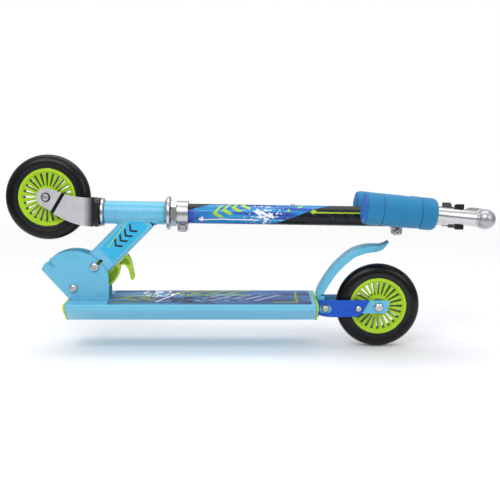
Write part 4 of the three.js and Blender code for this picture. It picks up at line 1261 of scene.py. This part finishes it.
piece("fork_crown_plate", crown_mesh(), STEER, "steering", "black_paint", "fork_crown")
piece("headset_hexagon_nut", nut_mesh(), STEER, "steering", "chrome", "headset_lock_nut")
piece("lower_clamp_ring", clamp_mesh(LOWER_CLAMP, 17.6), STEER, "steering", "steel", "lower_clamp")
piece("lower_clamp_screw", clamp_bolt_mesh(LOWER_CLAMP), STEER, "steering", "steel", "lower_clamp_bolt")
piece("printed_column", outer_tube_mesh(), STEER, "steering", "black_paint", "outer_tube",
      look=column_finish())
upper_collar = ring(11.4, 17.4, COLUMN_TOP + 0.3, UPPER_CLAMP[1] - 0.4, 0.2)
upper_body = carve(clamp_mesh(UPPER_CLAMP, 18), [upper_collar], "UNION")
piece("upper_clamp_ring", upper_body, STEER, "steering", "steel", "upper_clamp")
piece("upper_clamp_screw", clamp_bolt_mesh(UPPER_CLAMP), STEER, "steering", "steel", "upper_clamp_bolt")
finish = Finish("front_axle_steel", (0.62, 0.62, 0.63), 0.24, 1.0)
gap = radius_about_y(finish).over(4.6, 0.3) & finish.y.magnitude().over(17.6, 0.2)
finish.mix(gap, (0.01, 0.01, 0.011))
finish.mottle(0.05, 6.0)
finish.uneven(0.05, 3.0)
piece("front_axle_bolt", axle_mesh(FORK_INNER, FORK_OUTER), FRONT_WHEEL, "steering", "chrome", "front_axle",
      look=finish.grain(0.35, 2.0, 0.01, 0.3).done())

button_profile = [(0, 9.8), (2.6, 9.8), (2.6, 14.6), (2.3, 15.9), (1.4, 16.7), (0, 16.95)]
button = lathe(button_profile, SMALL, turn=BUTTON, edge=0.4)
piece("sprung_button", button, STEER, "height_button", "button_brass", "height_button")

# -------- inner column, T and handles

INNER_R = 11
T_Z = 572.4
T_R = 13.75
KNUCKLE_Y = abs((STEER.inverted() @ joint_place("left_handle_fold")).y) / MM
KNUCKLE_R = 13.6
HANDLE_TUBE_R = 11
HANDLE_TUBE_TOP = 15
GRIP_TOP = 70.2
GRIP_BOTTOM = 168
GRIP_R = 22.2
CLIP = (530, 542)
CLIP_JAW_R = 17.5
HANDLE_TILT = asin(-(STEER.inverted().to_3x3() @ joint_axis("right_handle_fold")).z)


def inner_tube_mesh():
    tube = ring(9.5, INNER_R, 166, T_Z, 0.3)
    keyway = block(-13, -7, -3, 3, BUTTON_Z - 124, BUTTON_Z + 4)
    tee = cylinder(T_R + 0.15, -30, 30, turn=TO_Y)
    return carve(tube, [keyway, moved(tee, z=T_Z)])


def tee_mesh():
    """The cross tube: rolled ends, a welded plug and a pinned tongue at each end."""
    end = 30.5
    shell = ring(11.4, T_R, -end, end, 1.1, turn=TO_Y)
    additions = []
    for side in SIDES.values():
        additions.append(rod_y(11.8, *span(20, 25, side)))
        tongue = rounded_box(*span(20, KNUCKLE_Y + 5.4, side), -5.4, 5.4, 5.2)
        additions.append(flat(tongue, -2.2, 2.2, 0.3, TO_BEAM, [round_hole(KNUCKLE_Y * side, 0, 2.8)]))
    joined = carve(shell, additions, "UNION")
    return moved(carve(joined, [cylinder(9.5, -20, 0)]), z=T_Z)


def clip_mesh():
    """The clip on the inner tube, with an open jaw for each folded handle."""
    low, high = CLIP
    drop = T_Z - (low + high) / 2
    splay = radians(90 - JOINTS["left_handle_fold"]["range_deg"][1])
    jaw_x = -drop * tan(HANDLE_TILT)
    jaw_y = KNUCKLE_Y + drop * tan(splay)
    middle = cylinder(14.6, low, high, 1.2, 64)
    jaws = [moved(cylinder(CLIP_JAW_R, low, high, 1.2, 64), jaw_x, jaw_y * side) for side in SIDES.values()]
    bar = flat(rounded_box(-8, 7, -jaw_y, jaw_y, 0.5), low, high, 1.0, LEVEL)
    body = carve(middle, [bar, *jaws], "UNION")
    cutters = [cylinder(INNER_R + 0.2, low - 1, high + 1)]
    for side_name, side in SIDES.items():
        jaw = cylinder(HANDLE_TUBE_R + 0.5, -120, -HANDLE_TUBE_TOP)
        jaw.transform(in_millimetres(STEER.inverted() @ HANDLES[side_name]))
        cutters.append(jaw)
        cutters.append(block(-30, 30, *span(jaw_y, jaw_y + 20, side), low - 2, high + 2))
    return carve(body, cutters)


def knuckle_mesh(side):
    ball = [(KNUCKLE_R * sin(a), -KNUCKLE_R * cos(a))
            for a in [radians(6 * i) for i in range(31)]]
    ball[0], ball[-1] = (0, -KNUCKLE_R), (0, KNUCKLE_R)
    spigot = lathe([(0, -34), (8.2, -34), (8.6, -33.4), (8.6, -9), (0, -9)], 64)
    body = carve(lathe(ball, 72), [spigot], "UNION")
    slot = block(-3.1, 3.1, *span(6.4, -16, side), -6.4, 16)
    pin = cylinder(2.3, -8, 8, 0.3, SMALL, Matrix.Rotation(pi / 2, 4, "Y"))
    return carve(carve(body, [slot]), [pin], "UNION")


def grip_mesh():
    """The foam grip: two grooves round it, a plump middle and rounded ends."""
    length = GRIP_BOTTOM - GRIP_TOP
    bore_r = HANDLE_TUBE_R + 0.2

    def at(share, r):
        return (r, -GRIP_BOTTOM + share * length)

    def groove(share, below, above):
        return [at(share - 0.022, below), at(share - 0.007, GRIP_R - 1.4), at(share, GRIP_R - 3.2),
                at(share + 0.007, GRIP_R - 1.4), at(share + 0.022, above)]

    outline = [at(0, bore_r), at(0, GRIP_R - 1.8), at(0.022, GRIP_R - 0.1), at(0.12, GRIP_R)]
    outline += groove(0.23, GRIP_R - 0.2, GRIP_R - 0.9)
    outline += [at(0.34, GRIP_R - 0.5), at(0.5, GRIP_R - 0.4), at(0.65, GRIP_R - 0.5)]
    outline += groove(0.765, GRIP_R - 0.9, GRIP_R - 0.2)
    outline += [at(0.86, GRIP_R), at(0.94, GRIP_R - 0.2), at(0.985, GRIP_R - 2.4), at(1, GRIP_R - 5.6),
                at(1, bore_r)]
    return lathe(soften(outline, 1.6, steps=5), 128, closed=True, sharp=60)


finish = Finish("foam", FOAM_BLUE, 0.88)
finish.mottle(0.07, 2.4)
finish.mottle(0.06, 26.0, seed=8)
finish.mix(finish.specks(1.3, 4).under(0.16, 0.08), srgb(36, 108, 158))
finish.uneven(0.06, 3.0)
finish.relief(finish.specks(1.1, 1), 0.12, 0.5)
finish.grain(4.0, 3.0, 0.1, 0.4)
foam = finish.set(Sheen_Weight=0.25, Sheen_Roughness=0.5, Specular_IOR_Level=0.3).done()

finish = Finish("knuckle_cast", srgb(176, 176, 180), 0.32, 0.85)
finish.mottle(0.10, 6.0).uneven(0.10, 3.0).grain(1.4, 3.0, 0.05, 0.5)
cast_knuckle = finish.done()

piece("telescopic_tube", inner_tube_mesh(), STEER, "column", "chrome", "inner_tube")
piece("handlebar_tee", tee_mesh(), STEER, "column", "chrome", "tee")
piece("two_jaw_clip", clip_mesh(), STEER, "column", "black_plastic", "handle_clip")
for side_name, side in SIDES.items():
    at = HANDLES[side_name]
    handle = f"{side_name}_handle"
    bottom = -GRIP_BOTTOM - 0.3
    cap_profile = [(0, bottom - 4.8), (9, bottom - 4.4), (16.5, bottom - 3.1), (20, bottom - 1.6),
                   (20.8, bottom - 0.8), (20.8, bottom), (0, bottom)]
    cap = lathe(cap_profile, edge=1.2)
    tube = ring(9, HANDLE_TUBE_R, -GRIP_BOTTOM + 0.5, -HANDLE_TUBE_TOP, 0.6)
    grip = piece(f"{handle}_foam", grip_mesh(), at, handle, "foam", f"{handle}_grip", look=foam)
    piece(f"{handle}_bar", tube, at, handle, "chrome", f"{handle}_tube")
    piece(f"{handle}_end_cap", cap, at, handle, "grip_cap", f"{handle}_grip_cap")
    piece(f"{handle}_hinge_knuckle", knuckle_mesh(side), at, handle, "black_plastic",
          f"{handle}_knuckle", look=cast_knuckle)

# -------- CAD pieces that stay

for node in ("lock_pin", "brake_spring", "latch_spring", "rear_bearing_spacer", "front_bearing_spacer",
             "lower_headset_bearing", "upper_headset_bearing"):
    kept = frame["nodes"][node]
    kept.data.materials.clear()
    kept.data.materials.append(zinc)

# -------- stage

FLOOR_HALF = 6  # metres
FLOOR_DROP = 0.0005  # metres below the tyre, so that the two never share a plane
FADE = (450, 1700)  # millimetres from the middle over which the floor fades into the backdrop
LIGHT_AIM = Vector((0, 0, 0.12))

floor_mesh = bpy.data.meshes.new("floor")
floor_mesh.from_pydata([(-FLOOR_HALF, -FLOOR_HALF, 0), (FLOOR_HALF, -FLOOR_HALF, 0),
                        (FLOOR_HALF, FLOOR_HALF, 0), (-FLOOR_HALF, FLOOR_HALF, 0)], [], [(0, 1, 2, 3)])
floor = put("floor", floor_mesh)
floor.location.z = -FLOOR_DROP
floor_finish = Finish("studio_floor", (0.93, 0.93, 0.94), 0.8)
floor_finish.mottle(0.01, 900.0)
floor_reach = distance(floor_finish.x, floor_finish.y)
fade = floor_finish.node("MapRange", Value=floor_reach.socket, From_Min=FADE[0], From_Max=FADE[1], To_Min=1,
                         To_Max=0)
floor_finish.feed(floor_finish.shader.inputs["Alpha"], fade.outputs[0])
floor.data.materials.append(floor_finish.set(Specular_IOR_Level=0.1).done())


def studio_world():
    """White behind the object, and a dimmer room with a bright ceiling for what it reflects."""
    world = bpy.data.worlds.new("studio")
    bpy.context.scene.world = world
    world.use_nodes = True
    tree = world.node_tree
    nodes, links = tree.nodes, tree.links
    room = nodes["Background"]
    backdrop = nodes.new("ShaderNodeBackground")
    backdrop.inputs["Color"].default_value = (1, 1, 1, 1)
    split = nodes.new("ShaderNodeSeparateXYZ")
    links.new(nodes.new("ShaderNodeTexCoord").outputs["Generated"], split.inputs[0])
    ramp = nodes.new("ShaderNodeValToRGB")
    height = nodes.new("ShaderNodeMath")
    height.operation = "MULTIPLY_ADD"
    height.inputs[1].default_value = 0.5
    height.inputs[2].default_value = 0.5
    links.new(split.outputs["Z"], height.inputs[0])
    links.new(height.outputs[0], ramp.inputs["Fac"])
    stops = ramp.color_ramp.elements
    stops[0].position, stops[0].color = 0.0, (0.40, 0.40, 0.41, 1)
    stops[1].position, stops[1].color = 1.0, (0.95, 0.95, 0.97, 1)
    for place, level in ((0.46, 0.34), (0.5, 0.30), (0.62, 0.48)):
        stop = stops.new(place)
        stop.color = (level, level, level * 1.02, 1)
    links.new(ramp.outputs["Color"], room.inputs["Color"])
    rays = nodes.new("ShaderNodeLightPath")
    choice = nodes.new("ShaderNodeMixShader")
    links.new(rays.outputs["Is Camera Ray"], choice.inputs["Fac"])
    links.new(room.outputs[0], choice.inputs[1])
    links.new(backdrop.outputs[0], choice.inputs[2])
    links.new(choice.outputs[0], nodes["World Output"].inputs["Surface"])


studio_world()


def soft_light(name, place, size, power):
    data = bpy.data.lights.new(name, "AREA")
    data.shape = "RECTANGLE"
    data.size, data.size_y = size
    data.energy = power
    light = put(name, data)
    light.location = place
    light.rotation_euler = (LIGHT_AIM - Vector(place)).to_track_quat("-Z", "Y").to_euler()


soft_light("key", (-0.5, -1.3, 1.5), (1.4, 0.9), 13)
soft_light("fill", (1.2, -1.1, 0.9), (0.9, 0.9), 5)
soft_light("top", (0.1, 0.4, 1.7), (1.8, 1.0), 10)

bpy.context.scene.view_settings.view_transform = "Standard"
